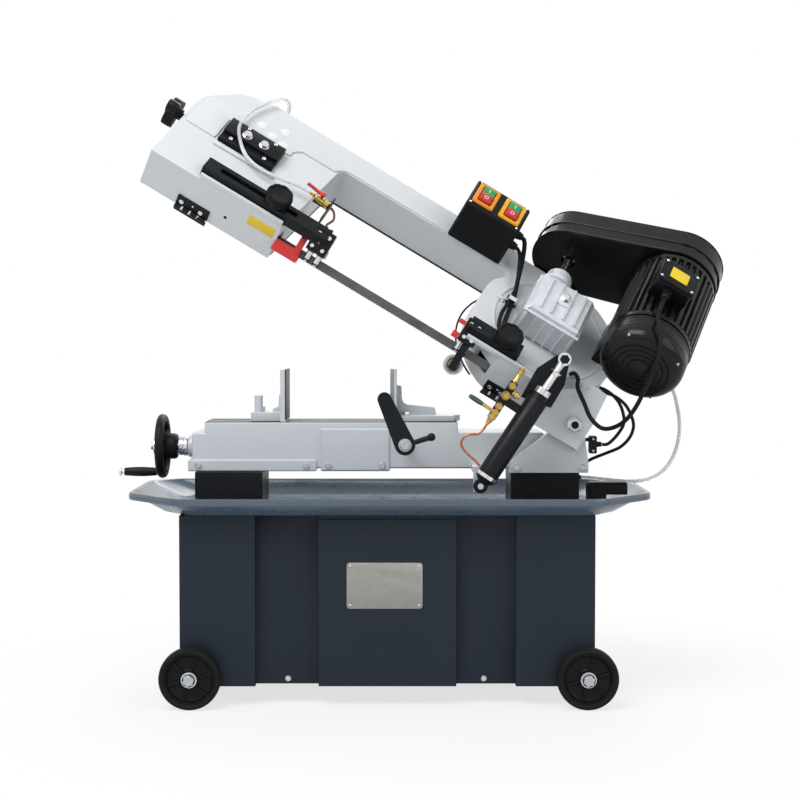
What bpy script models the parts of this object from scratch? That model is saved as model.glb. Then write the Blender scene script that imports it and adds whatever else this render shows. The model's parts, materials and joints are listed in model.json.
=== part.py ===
"""Horizontal metal-cutting band saw on a wheeled stand, built as separate sub-parts.

Every length below is in millimetres and turned to metres by MM. The saw stands on Z = 0, X runs along
the bed to the right, and Y runs away from the operator. The arm is modelled level, with its pivot
as the origin of the ARM frame, and is raised to its rest angle at the end. The bow of the arm
leans back by 45 degrees: in the BOW frame x runs along the arm, the second axis up the bow's
face, and the third axis out of the face, with the wheels' middle plane at 0.
"""
import math

import bmesh
import bpy
from mathutils import Matrix, Vector

MM = 0.001
GAP = 0.3                      # clearance kept between touching pieces

# Whole machine
CENTRE = (38.06, -22.71)        # middle of the machine's outline in X and Y
REST_ANGLE = 31.0              # the arm's rise above level at rest, degrees
BOW_LEAN = 45.0                # the bow's lean, degrees

# Stand
STAND_LEFT, STAND_RIGHT = -459.0, 398.0
STAND_DEPTH = 195.0            # half the depth
STAND_LOW, STAND_HIGH = 41.0, 395.0
RECESS_DEPTH = 168.0
END_WIDTH = (156.0, 163.0)     # left and right cabinet ends
PANEL = (-172.5, 112.0)        # the middle panels, from and to
SHEET = 3.0

# Transport wheels
WHEEL_RADIUS, WHEEL_WIDTH = 63.5, 35.0
AXLE_X = (-434.5, 380.0)
AXLE_RADIUS = 8.0
WHEEL_MIDDLE = 222.5           # distance of a wheel's middle from the middle plane

# Chip tray
TRAY_HIGH, TRAY_FLOOR = 433.0, 397.5
TRAY_LIP = 15.0
TRAY_RIM = ((-465, -238), (412, -238), (528, -100), (528, 150),
            (440, 238), (-530, 238), (-581, 190), (-581, -100))
TRAY_BASE = ((-440, -205), (395, -205), (448, -120), (448, 120),
             (400, 205), (-455, 205), (-501, 165), (-501, -120))

# Bed and vise
BED_FRONT, BED_BACK = -50.0, 106.0
BED_TOP = 579.3
BED_WALL = 12.0
BED_END = (-450.0, 304.0)
VISE_Y, VISE_Z = 14.0, 524.0
JAW_HALF_WIDTH = 62.0
FIXED_JAW_FACE, MOVING_JAW_FACE = -25.0, -249.0
JAW_TOP = 693.0
HANDWHEEL_RADIUS = 70.0
HANDWHEEL_X = -522.0
CRANK_RADIUS = 56.0

# Arm
PIVOT = (362.4, 577.5)         # X and Z of the arm's pivot
BOW_Y, BOW_Z = -16.0, 109.6    # the bow's middle in the ARM frame
FACE = 48.0                    # front face of the bow casting
BACK = -45.0                   # open back of the bow casting
WALL = 5.0
BAND_WHEEL_RADIUS = 140.0
IDLER_X, DRIVE_X = -884.0, -143.0
BLADE_WIDTH, BLADE_THICK = 20.0, 0.9
BEAM = (100.0, 170.0)          # lower and upper edge of the beam

# Drive
WORM_X, WORM_N = -180.0, 103.0
WORM_WHEEL_RADIUS = 27.5
MOTOR_X, MOTOR_N = 37.0, 198.0
MOTOR_RADIUS = 90.0
PULLEY_A = (174.0, 190.0)      # the pulleys' lower and upper side along the worm shaft
WORM_PULLEY_RADIUS, MOTOR_PULLEY_RADIUS = 54.0, 36.0
GUARD_A = (163.0, 243.0)
GUARD_RADII = (80.0, 88.0)

# Hydraulic feed
CYLINDER_Y = -186.0
CYLINDER_FOOT = (161.3, 455.2)  # X and Z of the lower pin
CYLINDER_EYE = (333.4, 716.1)   # X and Z of the upper pin, arm at rest

SAW = bpy.data.collections.new("band_saw")
CUTTERS = bpy.data.collections.new("cutters")
MATERIALS = {}


def clear_scene():
    for old in list(bpy.data.objects):
        bpy.data.objects.remove(old, do_unlink=True)
    for collection in (SAW, CUTTERS):
        bpy.context.scene.collection.children.link(collection)


def material(name, colour, roughness, metallic=0.0):
    """A Principled material of one colour, given as linear RGB."""
    if name not in MATERIALS:
        made = bpy.data.materials.new(name)
        made.use_nodes = True
        shader = made.node_tree.nodes["Principled BSDF"]
        shader.inputs["Base Color"].default_value = (*colour, 1.0)
        shader.inputs["Roughness"].default_value = roughness
        shader.inputs["Metallic"].default_value = metallic
        MATERIALS[name] = made
    return MATERIALS[name]


def enamel():
    return material("pale_enamel", (0.62, 0.66, 0.70), 0.35)


def slate():
    return material("slate_paint", (0.035, 0.05, 0.07), 0.4)


def black_paint():
    return material("black_paint", (0.02, 0.02, 0.022), 0.45)


def black_plastic():
    return material("black_plastic", (0.015, 0.015, 0.016), 0.5)


def steel():
    return material("bright_steel", (0.55, 0.56, 0.58), 0.3, 1.0)


def aluminium():
    return material("cast_aluminium", (0.6, 0.61, 0.62), 0.45, 1.0)


def iron():
    return material("ground_iron", (0.2, 0.2, 0.21), 0.4, 1.0)


def brass():
    return material("bronze", (0.6, 0.42, 0.16), 0.35, 1.0)


def rubber():
    return material("rubber", (0.02, 0.02, 0.02), 0.8)


def hose_plastic():
    return material("clear_hose", (0.75, 0.77, 0.78), 0.25)


def coloured(name, colour):
    return material(name, colour, 0.4)


# Frames: where a shape's numbers are measured from. Each is a matrix in metres.
WORLD = Matrix.Identity(4)
ARM = Matrix.Translation(Vector((PIVOT[0], 0.0, PIVOT[1])) * MM)
BOW = ARM @ Matrix.Translation(Vector((0.0, BOW_Y, BOW_Z)) * MM) @ Matrix.Rotation(
    math.radians(BOW_LEAN), 4, "X")
CYLINDER_RUN = (CYLINDER_EYE[0] - CYLINDER_FOOT[0], CYLINDER_EYE[1] - CYLINDER_FOOT[1])
CYLINDER_TILT = math.atan2(CYLINDER_RUN[0], CYLINDER_RUN[1])
CYLINDER_LENGTH = math.hypot(*CYLINDER_RUN)
FEED = Matrix.Translation(Vector((CYLINDER_FOOT[0], CYLINDER_Y, CYLINDER_FOOT[1])) * MM) @ (
    Matrix.Rotation(CYLINDER_TILT, 4, "Y"))
RAISE = ARM @ Matrix.Rotation(math.radians(REST_ANGLE), 4, "Y") @ ARM.inverted()
LEVEL_FEED = RAISE.inverted() @ FEED          # the feed's line as it stands in the level arm


def made_object(bm, frame):
    mesh = bpy.data.meshes.new("shape")
    bm.to_mesh(mesh)
    bm.free()
    made = bpy.data.objects.new("shape", mesh)
    CUTTERS.objects.link(made)
    made.matrix_world = frame
    return made


def towards(direction):
    """The turn that takes +Z to a direction."""
    return Vector(direction).to_track_quat("Z", "Y").to_matrix().to_4x4()


def box(low, high, frame=WORLD, bevel=0.0):
    """A block between two corners."""
    bm = bmesh.new()
    low, high = Vector(low) * MM, Vector(high) * MM
    place = Matrix.Translation((low + high) / 2) @ Matrix.Diagonal((*(high - low), 1.0))
    bmesh.ops.create_cube(bm, size=1.0, matrix=place)
    if bevel:
        bmesh.ops.bevel(bm, geom=bm.edges[:], offset=bevel * MM, segments=1, affect="EDGES")
    return made_object(bm, frame)


def rod(start, end, radius, frame=WORLD, sides=16, end_radius=None):
    """A round bar or cone between two points."""
    bm = bmesh.new()
    start, end = Vector(start) * MM, Vector(end) * MM
    place = Matrix.Translation((start + end) / 2) @ towards(end - start)
    far = radius if end_radius is None else end_radius
    bmesh.ops.create_cone(bm, cap_ends=True, segments=sides, radius1=radius * MM,
                          radius2=far * MM, depth=(end - start).length, matrix=place)
    return made_object(bm, frame)


def as_mesh(shape):
    """Turn a curve into a closed mesh that Booleans can take."""
    view = bpy.context.evaluated_depsgraph_get()
    view.update()
    mesh = bpy.data.meshes.new_from_object(shape.evaluated_get(view))
    bm = bmesh.new()
    bm.from_mesh(mesh)
    bmesh.ops.remove_doubles(bm, verts=bm.verts, dist=1e-6)
    bmesh.ops.recalc_face_normals(bm, faces=bm.faces)
    bm.to_mesh(mesh)
    bm.free()
    solid = bpy.data.objects.new("shape", mesh)
    CUTTERS.objects.link(solid)
    solid.matrix_world = shape.matrix_world.copy()
    bpy.data.objects.remove(shape, do_unlink=True)
    return solid


def plate(points, low, high, frame=WORLD, plane="XY", holes=()):
    """A flat outline as a filled 2D curve, extruded between two heights across its plane."""
    curve = bpy.data.curves.new("outline", "CURVE")
    curve.dimensions = "2D"
    curve.fill_mode = "BOTH"
    curve.extrude = (high - low) / 2 * MM
    for loop in (points, *holes):
        spline = curve.splines.new("POLY")
        spline.points.add(len(loop) - 1)
        spline.use_cyclic_u = True
        for point, (u, v) in zip(spline.points, loop):
            point.co = (u * MM, v * MM, 0.0, 1.0)
    turn = {"XY": Matrix.Identity(4),
            "XZ": Matrix.Rotation(math.radians(90), 4, "X"),
            "YZ": Matrix(((0, 0, 1, 0), (1, 0, 0, 0), (0, 1, 0, 0), (0, 0, 0, 1)))}[plane]
    side = -1.0 if plane == "XZ" else 1.0
    lift = Matrix.Translation((0.0, 0.0, side * (low + high) / 2 * MM))
    shape = bpy.data.objects.new("outline", curve)
    CUTTERS.objects.link(shape)
    shape.matrix_world = frame @ turn @ lift
    return as_mesh(shape)


def turned(profile, start, direction, frame=WORLD, steps=32):
    """A profile of (radius, height) points, top first, swept round an axis by a Screw modifier.

    A profile that begins and ends on the axis is solid; any other is closed into a ring.
    """
    mesh = bpy.data.meshes.new("profile")
    solid = profile[0][0] == 0 and profile[-1][0] == 0
    count = len(profile)
    edges = [(i, i + 1) for i in range(count - 1)]
    if not solid:
        edges.append((count - 1, 0))
    mesh.from_pydata([(r * MM, 0.0, z * MM) for r, z in profile], edges, [])
    shape = bpy.data.objects.new("shape", mesh)
    CUTTERS.objects.link(shape)
    shape.matrix_world = frame @ Matrix.Translation(Vector(start) * MM) @ towards(direction)
    screw = shape.modifiers.new("turn", "SCREW")
    screw.axis = "Z"
    screw.steps = steps
    screw.render_steps = steps
    screw.use_merge_vertices = True
    screw.merge_threshold = 0.00001
    screw.use_normal_calculate = False
    return shape


def arc(centre, radius, start, end, count):
    """Points on a circle between two angles in degrees."""
    angles = [math.radians(start + (end - start) * i / (count - 1)) for i in range(count)]
    return [(centre[0] + radius * math.cos(a), centre[1] + radius * math.sin(a)) for a in angles]


def inset(points, distance):
    """An anticlockwise outline moved inward by a distance."""
    moved = []
    count = len(points)
    for i, point in enumerate(points):
        here = Vector(point)
        before = (here - Vector(points[i - 1])).normalized()
        after = (Vector(points[(i + 1) % count]) - here).normalized()
        inward_before = Vector((-before.y, before.x))
        inward_after = Vector((-after.y, after.x))
        middle = inward_before + inward_after
        moved.append(tuple(here + middle * (2 * distance / middle.length_squared)))
    return moved


def stadium(first, first_radius, second, second_radius, count=11):
    """The outline of a belt or guard round two circles, anticlockwise."""
    run = Vector(second) - Vector(first)
    heading = math.degrees(math.atan2(run.y, run.x))
    lean = math.degrees(math.acos((first_radius - second_radius) / run.length))
    return (arc(second, second_radius, heading - lean, heading + lean, count)
            + arc(first, first_radius, heading + lean, heading + 360 - lean, count))


def smooth_route(points, spacing):
    """Points at an even spacing along a Catmull-Rom curve through a cord's route."""
    route = [Vector(p) * MM for p in points]
    route = [2 * route[0] - route[1], *route, 2 * route[-1] - route[-2]]
    fine = []
    for a, b, c, d in zip(route, route[1:], route[2:], route[3:]):
        for step in range(20):
            t = step / 20
            fine.append(0.5 * (2 * b + (c - a) * t + (2 * a - 5 * b + 4 * c - d) * t ** 2
                               + (3 * b - a - 3 * c + d) * t ** 3))
    fine.append(route[-2])
    length = sum((q - p).length for p, q in zip(fine, fine[1:]))
    count = max(2, round(length / (spacing * MM)))
    even, travelled, target = [fine[0]], 0.0, length / count
    for p, q in zip(fine, fine[1:]):
        step = (q - p).length
        while travelled + step >= target and len(even) < count:
            even.append(p.lerp(q, (target - travelled) / step))
            target += length / count
        travelled += step
    even.append(fine[-1])
    return even


def tube(points, radius, frame=WORLD):
    """A cord or hose: a curve with a bevel along a smooth route."""
    curve = bpy.data.curves.new("route", "CURVE")
    curve.dimensions = "3D"
    curve.bevel_depth = radius * MM
    curve.bevel_resolution = 2
    curve.use_fill_caps = True
    route = smooth_route(points, 5 * radius)
    spline = curve.splines.new("POLY")
    spline.points.add(len(route) - 1)
    for point, place in zip(spline.points, route):
        point.co = (*place, 1.0)
    shape = bpy.data.objects.new("route", curve)
    CUTTERS.objects.link(shape)
    shape.matrix_world = frame
    return shape


def piece(name, look, base, add=(), cut=(), axis=None):
    """Name a sub-part, and join to it or cut from it the other shapes by Boolean modifiers.

    axis, a matrix, becomes the object's origin: a moving piece turns or slides about it.
    """
    base.name = name
    if axis is not None and base.type == "MESH":
        keep = axis.inverted() @ base.matrix_world
        base.data.transform(keep)
        base.matrix_world = axis
    CUTTERS.objects.unlink(base)
    SAW.objects.link(base)
    base.data.materials.append(look)
    for operation, shapes in (("UNION", add), ("DIFFERENCE", cut)):
        for shape in shapes:
            shape.name = name + "_" + operation.lower()
            shape.hide_render = True
            shape.display_type = "WIRE"
            modifier = base.modifiers.new(operation.lower(), "BOOLEAN")
            modifier.operation = operation
            modifier.solver = "EXACT"
            modifier.object = shape
            hang(shape, base)
    return base


def hang(child, parent):
    """Parent an object and leave it where it is."""
    child.parent = parent
    child.matrix_parent_inverse = parent.matrix_world.inverted()


def axis_empty(name, frame, position, children):
    """An empty on a joint's axis that carries the pieces which move there."""
    empty = bpy.data.objects.new(name, None)
    SAW.objects.link(empty)
    empty.matrix_world = frame @ Matrix.Translation(Vector(position) * MM)
    for child in children:
        hang(child, empty)
    return empty


# ---------------------------------------------------------------- stand and tray

def standing_sheet(path, frame=WORLD):
    """A folded sheet that stands upright along a plan path, thickened to the path's left."""
    bm = bmesh.new()
    low = [bm.verts.new((x * MM, y * MM, STAND_LOW * MM)) for x, y in path]
    high = [bm.verts.new((x * MM, y * MM, STAND_HIGH * MM)) for x, y in path]
    for i in range(len(path) - 1):
        bm.faces.new((low[i], low[i + 1], high[i + 1], high[i]))
    shape = made_object(bm, frame)
    wall = shape.modifiers.new("sheet", "SOLIDIFY")
    wall.thickness = SHEET * MM
    wall.offset = -1.0
    wall.use_even_offset = True
    return shape


def stand():
    left_inner, right_inner = STAND_LEFT + END_WIDTH[0], STAND_RIGHT - END_WIDTH[1]
    seam = 0.4
    left_path = [(PANEL[0] - seam, -RECESS_DEPTH), (left_inner, -RECESS_DEPTH),
                 (left_inner, -STAND_DEPTH), (STAND_LEFT, -STAND_DEPTH)]
    right_path = [(PANEL[1] + seam, -RECESS_DEPTH), (right_inner, -RECESS_DEPTH),
                  (right_inner, -STAND_DEPTH), (STAND_RIGHT, -STAND_DEPTH)]
    for side, path, axle_x in (("left", left_path, AXLE_X[0]), ("right", right_path, AXLE_X[1])):
        path = path + [(x, -y) for x, y in reversed(path)]
        if side == "left":
            path.reverse()
        hole = rod((axle_x, -210, WHEEL_RADIUS), (axle_x, 210, WHEEL_RADIUS), AXLE_RADIUS + 0.4)
        piece("stand_" + side + "_end", slate(), standing_sheet(path), cut=[hole])
    for side, sign in (("front", -1), ("rear", 1)):
        path = [(PANEL[0], sign * RECESS_DEPTH), (PANEL[0], sign * STAND_DEPTH),
                (PANEL[1], sign * STAND_DEPTH), (PANEL[1], sign * RECESS_DEPTH)]
        if sign > 0:
            path.reverse()
        piece("stand_" + side + "_panel", slate(), standing_sheet(path))


def chip_tray():
    """A pressed pan: floor, sloping walls, flat lip and rolled edge, as one surface made thick."""
    bm = bmesh.new()
    lip = inset(TRAY_RIM, 11.0)
    rings = [[bm.verts.new((x * MM, y * MM, z * MM)) for x, y in loop]
             for loop, z in ((TRAY_BASE, TRAY_FLOOR), (lip, TRAY_HIGH),
                             (TRAY_RIM, TRAY_HIGH), (TRAY_RIM, TRAY_HIGH - TRAY_LIP))]
    bm.faces.new(rings[0])
    count = len(TRAY_RIM)
    for lower, upper in zip(rings, rings[1:]):
        for i in range(count):
            j = (i + 1) % count
            bm.faces.new((lower[j], lower[i], upper[i], upper[j]))
    bmesh.ops.recalc_face_normals(bm, faces=bm.faces)
    if bm.faces[0].normal.z < 0:
        bmesh.ops.reverse_faces(bm, faces=bm.faces)
    tray = made_object(bm, WORLD)
    sheet = tray.modifiers.new("sheet", "SOLIDIFY")
    sheet.thickness = 2.0 * MM
    sheet.offset = -1.0
    sheet.use_even_offset = True
    piece("chip_tray", slate(), tray)


def risers():
    """Two steel boxes, open below, that carry the bed over the tray."""
    for side, left, right in (("left", -442.0, -298.0), ("right", 232.0, 378.0)):
        body = box((left, -68, TRAY_FLOOR + 1), (right, 102, 474.0))
        hollow = box((left + 4, -64, TRAY_FLOOR - 9), (right - 4, 98, 470.0))
        extra = []
        if side == "right":
            extra = [rod((right - 3, 20, 455), (right + 14, 20, 455), 5.0, sides=16)]
        piece("riser_" + side, black_paint(), body, add=extra, cut=[hollow])


def transport_wheels():
    for side, x in zip(("left", "right"), AXLE_X):
        reach = WHEEL_MIDDLE + WHEEL_WIDTH / 2 + 5
        bar = turned([(0, reach + 7), (10, reach + 7), (14, reach + 1), (14, reach - 4),
                      (AXLE_RADIUS, reach - 4), (AXLE_RADIUS, 4 - reach), (14, 4 - reach),
                      (14, -reach - 1), (10, -reach - 7), (0, -reach - 7)],
                     (x, 0, WHEEL_RADIUS), (0, -1, 0), steps=14)
        piece("axle_" + side, steel(), bar)
        for end, sign in (("front", -1), ("rear", 1)):
            middle = (x, sign * WHEEL_MIDDLE, WHEEL_RADIUS)
            half = WHEEL_WIDTH / 2
            tyre = turned([(56, half), (WHEEL_RADIUS, half - 5), (WHEEL_RADIUS, 5 - half),
                           (56, -half), (54, 6 - half), (20, 6 - half), (18, -half),
                           (AXLE_RADIUS + GAP, -half), (AXLE_RADIUS + GAP, half), (18, half),
                           (20, half - 6), (54, half - 6)], middle, (0, sign, 0), steps=20)
            name = f"transport_wheel_{end}_{side}"
            piece(name, rubber(), tyre)


# ---------------------------------------------------------------- bed and vise

def bed():
    left, right = BED_END
    body = box((left, BED_FRONT, 480), (right, BED_BACK - 4, 557), bevel=3)
    tier = box((-423, BED_FRONT, 540), (119.7, BED_BACK - 6, BED_TOP), bevel=2)
    flange = box((-458.6, BED_FRONT - 5, 474.3), (-182.6, BED_BACK, 499.2), bevel=2)
    middle = box((-174.5, BED_FRONT - 4, 474.3), (-25.4, BED_BACK - 2, 566), bevel=3)
    boss = rod((left - 14, VISE_Y, VISE_Z), (left + 10, VISE_Y, VISE_Z), 24)
    feed_arm = box((146, CYLINDER_Y + 24, 482), (178, BED_FRONT + 12, 494))
    ear = box((148, CYLINDER_Y + 24, 440), (176, CYLINDER_Y + 34, 490))
    foot_x, foot_z = CYLINDER_FOOT
    pin = rod((foot_x, CYLINDER_Y - 16, foot_z), (foot_x, CYLINDER_Y + 28, foot_z), 6.0)
    stop_boss = rod((6, BED_FRONT - 8, 541), (6, BED_FRONT + 20, 541), 18)
    pocket = box((left + BED_WALL, BED_FRONT + 10, 460),
                 (right - BED_WALL, BED_BACK - 16, 545))
    upper_pocket = box((-411, BED_FRONT + 10, 460), (107, BED_BACK - 18, BED_TOP - BED_WALL))
    slot = box((-416, VISE_Y - 14.5, 530), (-78, VISE_Y + 14.5, BED_TOP + 5))
    screw_hole = rod((left - 30, VISE_Y, VISE_Z), (left + 30, VISE_Y, VISE_Z), 12.5)
    stop_hole = rod((6, BED_FRONT - 20, 541), (6, BED_FRONT + 12, 541), 8.4)
    piece("bed", enamel(), body, add=[tier, flange, middle, boss, feed_arm, ear, pin, stop_boss],
          cut=[pocket, upper_pocket, slot, screw_hole, stop_hole])


def vise():
    top = BED_TOP + GAP
    low, high = VISE_Y - JAW_HALF_WIDTH, VISE_Y + JAW_HALF_WIDTH
    upright = box((FIXED_JAW_FACE, low, top), (-11, high, JAW_TOP), bevel=1)
    base = box((FIXED_JAW_FACE + 1, VISE_Y - 44, top), (112, VISE_Y + 44, top + 13), bevel=1)
    gusset = plate(((-14, top + 5), (74, top + 5), (74, top + 18), (71, top + 29), (12, top + 35),
                    (4, top + 39), (0, top + 47), (-1, top + 76), (-14, top + 78)),
                   VISE_Y - 7, VISE_Y + 7, plane="XZ")
    end = rod((112, VISE_Y, top), (112, VISE_Y, top + 13), 14)
    piece("fixed_jaw", enamel(), upright, add=[base, gusset, end])

    face = MOVING_JAW_FACE
    upright = box((face - 12, low, top), (face, high, JAW_TOP - 1), bevel=1)
    foot = box((face - 77, VISE_Y - 40, top), (face - 4, VISE_Y + 40, top + 20), bevel=1)
    rib = plate(((face - 32, top + 12), (face - 8, top + 12), (face - 8, top + 60),
                 (face - 18, top + 58), (face - 20, top + 31), (face - 32, top + 26)),
                VISE_Y - 8, VISE_Y + 8, plane="XZ")
    post = rod((face - 61, VISE_Y - 26, top + 16), (face - 61, VISE_Y - 26, top + 56), 9)
    nut = box((face - 41, VISE_Y - 13, VISE_Z - 18), (face - 19, VISE_Y + 13, top + 5))
    bore = rod((face - 64, VISE_Y, VISE_Z), (face + 6, VISE_Y, VISE_Z), 10.4)
    jaw = piece("moving_jaw", enamel(), upright, add=[foot, rib, post, nut], cut=[bore])
    axis_empty("jaw_slide", WORLD, (face, VISE_Y, VISE_Z), [jaw])

    screw = turned([(0, 440), (10, 440), (10, 20), (20, 20), (20, 2), (8, 2), (8, -60), (0, -60)],
                   (-487, VISE_Y, VISE_Z), (1, 0, 0), steps=16)
    piece("vise_screw", steel(), screw)
    ring = HANDWHEEL_RADIUS
    rim = turned([(ring - 3, 11), (ring, 0), (ring - 3, -11), (ring - 15, -10), (ring - 17, 0),
                  (ring - 15, 10)], (HANDWHEEL_X, VISE_Y, VISE_Z), (-1, 0, 0), steps=24)
    hub = rod((HANDWHEEL_X - 14, VISE_Y, VISE_Z), (HANDWHEEL_X + 33, VISE_Y, VISE_Z), 28)
    spokes = []
    for turn in (33, 153, 273):
        angle = math.radians(turn)
        reach = ring - 9.3
        spokes.append(rod((HANDWHEEL_X, VISE_Y, VISE_Z),
                          (HANDWHEEL_X, VISE_Y + reach * math.cos(angle),
                           VISE_Z + reach * math.sin(angle)), 8, sides=8))
    crank = (VISE_Y, VISE_Z - CRANK_RADIUS)
    boss = rod((HANDWHEEL_X - 10, *crank), (HANDWHEEL_X + 8, *crank), 12)
    pin = turned([(0, 90), (9, 90), (9, 85), (5, 85), (5, 0), (0, 0)],
                 (HANDWHEEL_X - 5, *crank), (-1, 0, 0), steps=12)
    bore = rod((HANDWHEEL_X - 40, VISE_Y, VISE_Z), (HANDWHEEL_X + 60, VISE_Y, VISE_Z), 8.4)
    wheel = piece("vise_handwheel", black_plastic(), rim, add=[hub, *spokes, boss, pin],
                  cut=[bore])
    axis_empty("handwheel_axis", WORLD, (HANDWHEEL_X, VISE_Y, VISE_Z),
               [wheel, bpy.data.objects["vise_screw"]])
    grip = turned([(9, 72), (10.3, 66), (10.3, 10), (8, 0), (5.4, 0), (5.4, 72)],
                  (HANDWHEEL_X - 12, *crank), (-1, 0, 0), steps=16)
    grip = piece("handwheel_grip", black_plastic(), grip)
    axis_empty("grip_axis", WORLD, (HANDWHEEL_X - 12, *crank), [grip])


def work_stop():
    x, z = 6, 541
    bar = rod((x, -216, z), (x, BED_FRONT + 11, z), 8, sides=20)
    piece("work_stop_rod", steel(), bar)
    outline = arc((x, z), 21, 204, 384, 13) + arc((-36, 635), 14.5, 24, 204, 11)
    lever = plate(outline, -213, -203, plane="XZ")
    handle = rod((x + 14, -208, z + 4), (x + 52, -208, z + 16), 5, sides=14, end_radius=6)
    hole = rod((x, -230, z), (x, -190, z), 8.4)
    lever = piece("work_stop_lever", black_paint(), lever, add=[handle], cut=[hole])
    axis_empty("work_stop_axis", WORLD, (x, -208, z), [lever])


def pivot_bracket():
    x, z = PIVOT
    foot = box((228, -92, 474.3), (395, -50.6, 499))
    tail = box((305, -60, 474.3), (395, 70, 499))
    post = plate([(228, 497), (395, 497)] + arc((x, z), 23, -20, 170, 13),
                 -91, -58.5, plane="XZ")
    hole = rod((x, -120, z), (x, 0, z), 10.4)
    piece("pivot_bracket", enamel(), foot, add=[tail, post], cut=[hole])
    shaft = turned([(0, 122), (11, 122), (11, 116), (17, 116), (17, 106.5), (10, 106.5),
                    (10, 43.5), (14, 43.5), (14, 38), (0, 38)], (x, 0, z), (0, -1, 0), steps=16)
    piece("pivot_shaft", steel(), shaft)


def tray_fittings():
    body = box((402, -40, TRAY_FLOOR + 1), (440, 20, 446), bevel=1)
    head = box((430, -36, 422), (486, 5, 446), bevel=1)
    piece("coolant_outlet", black_plastic(), body, add=[head])
    switch = box((397, -90, 515), (413, -64, 552), bevel=1.5)
    stem = rod((390, -77, 544), (399, -77, 544), 4, sides=12)
    boot = rod((408, -77, 534), (424, -77, 534), 7, sides=16, end_radius=5)
    piece("limit_switch", black_plastic(), switch, add=[stem, boot])


# ---------------------------------------------------------------- bow

def bow_outline(square=False):
    """The bow seen square to its face: left wheel case, beam, right wheel case.

    The casting rounds the two corners under its beam; the sheet door behind it is cut square there.
    """
    if square:
        throat = [(-705.5, 100)] + arc((DRIVE_X, 0), 165, 142.7, 241, 12)
    else:
        throat = ([(-708, 78)] + arc((-688, 80), 20, 180, 90, 4) + arc((-292, 80), 20, 90, 20, 4)
                  + arc((DRIVE_X, 0), 165, 162, 241, 10))
    return ([(-1047, -152), (-735, -152)] + throat
            + [(-205, -152), (-82, -152), (-1, -71)]
            + arc((DRIVE_X, 0), 158, -20, 86, 9)
            + [(-265, 158), (-290, BEAM[1]), (-895, BEAM[1]), (-948, 159), (-978, 145),
               (-1021, 97), (-1037, 73), (-1043, 44)])


def bow_frame():
    outline = bow_outline()
    shell = plate(outline, BACK, FACE, BOW)
    front_lug = plate(((-103, -44), (33, -43), (34, 22), (28, 89), (-8, 92), (-34, 74),
                       (-58, 40), (-80, 6), (-100, -30)), -106, -91.5, ARM, plane="XZ")
    rear_lug = plate(((-6, 60), (14, 78), (22, 60), (20, 0), (0, -19), (-14, -12), (-15, 8)),
                     -57.8, -45, ARM, plane="XZ")
    barb = rod((-4, 60, 20), (16, 60, 20), 5, BOW, sides=16)
    hose_barb = rod((-878, 166, 20), (-878, 179.5, 20), 5, BOW, sides=12)
    inside = plate(inset(outline, WALL), BACK - 5, FACE - WALL, BOW)
    shaft_hole = rod((DRIVE_X, 0, 30), (DRIVE_X, 0, 60), 22, BOW)
    slide_slot = box((IDLER_X - 38, -12.5, 30), (IDLER_X + 46, 12.5, 60), BOW)
    screw_hole = rod((-1070, 0, 34), (-1030, 0, 34), 6.6, BOW)
    stud_holes = [rod((x, -125, 30), (x, -125, 60), 5.5, BOW, sides=16) for x in (-770, -216)]
    band_ways = [box((-750, -147, -16), (-690, -118, 16), BOW),
                 box((-280, -147, -16), (-200, -118, 16), BOW)]
    pin_hole = rod((0, -140, 0), (0, 0, 0), 10.4, ARM)
    return piece("bow_frame", enamel(), shell, add=[front_lug, rear_lug, barb, hose_barb],
                 cut=[inside, shaft_hole, slide_slot, screw_hole, *stud_holes, *band_ways,
                      pin_hole])


def wheel_cover():
    """The rear door, hinged along the bow's lower edge."""
    low, high = BACK - 4.5, BACK - 0.4
    door = plate(inset(bow_outline(square=True), 0.6), low, high, BOW)
    line = (-157.5, (low + high) / 2)
    knuckles = [rod((x, *line), (x + 55, *line), 4.6, BOW, sides=14) for x in (-960, -205)]
    leaves = [box((x, line[0] - 1, low), (x + 55, -145, low + 3), BOW) for x in (-960, -205)]
    stiffener = plate(inset(bow_outline(square=True), 26), low - 2, low + 1, BOW)
    door = piece("wheel_cover", enamel(), door, add=[stiffener, *leaves, *knuckles])
    return axis_empty("cover_hinge", BOW, (0, *line), [door])


def band_wheel_profile(bore, shaft=None):
    """Rim, web and hub; with shaft, the profile is solid and ends in the drive shaft."""
    rim = BAND_WHEEL_RADIUS - 0.7
    outer = [(rim, 14), (rim, -12), (rim + 3, -12), (rim + 3, -16), (rim - 12, -16),
             (rim - 12, -5), (32, -5), (32, -18)]
    inner = [(32, 18), (32, 5), (rim - 12, 5), (rim - 12, 14)]
    if shaft:
        return [(0, shaft), (bore, shaft), (bore, 18)] + inner + outer + [(0, -18)]
    return [(bore, 18)] + inner + outer + [(bore, -18)]


def band_wheels():
    idler = turned(band_wheel_profile(12.3), (IDLER_X, 0, 0), (0, 0, 1), BOW, steps=30)
    idler = piece("idler_wheel", steel(), idler)
    idler_axis = axis_empty("idler_axis", BOW, (IDLER_X, 0, 0), [idler])
    drive = turned(band_wheel_profile(14.0, shaft=118.0), (DRIVE_X, 0, 0), (0, 0, 1), BOW, steps=30)
    drive = piece("drive_wheel", steel(), drive)
    gear = turned([(WORM_WHEEL_RADIUS, 111), (WORM_WHEEL_RADIUS, 95), (14.3, 95), (14.3, 111)],
                  (DRIVE_X, 0, 0), (0, 0, 1), BOW, steps=24)
    gear = piece("worm_wheel", brass(), gear)
    drive_axis = axis_empty("drive_axis", BOW, (DRIVE_X, 0, 0), [drive, gear])
    return idler_axis, drive_axis


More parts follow.
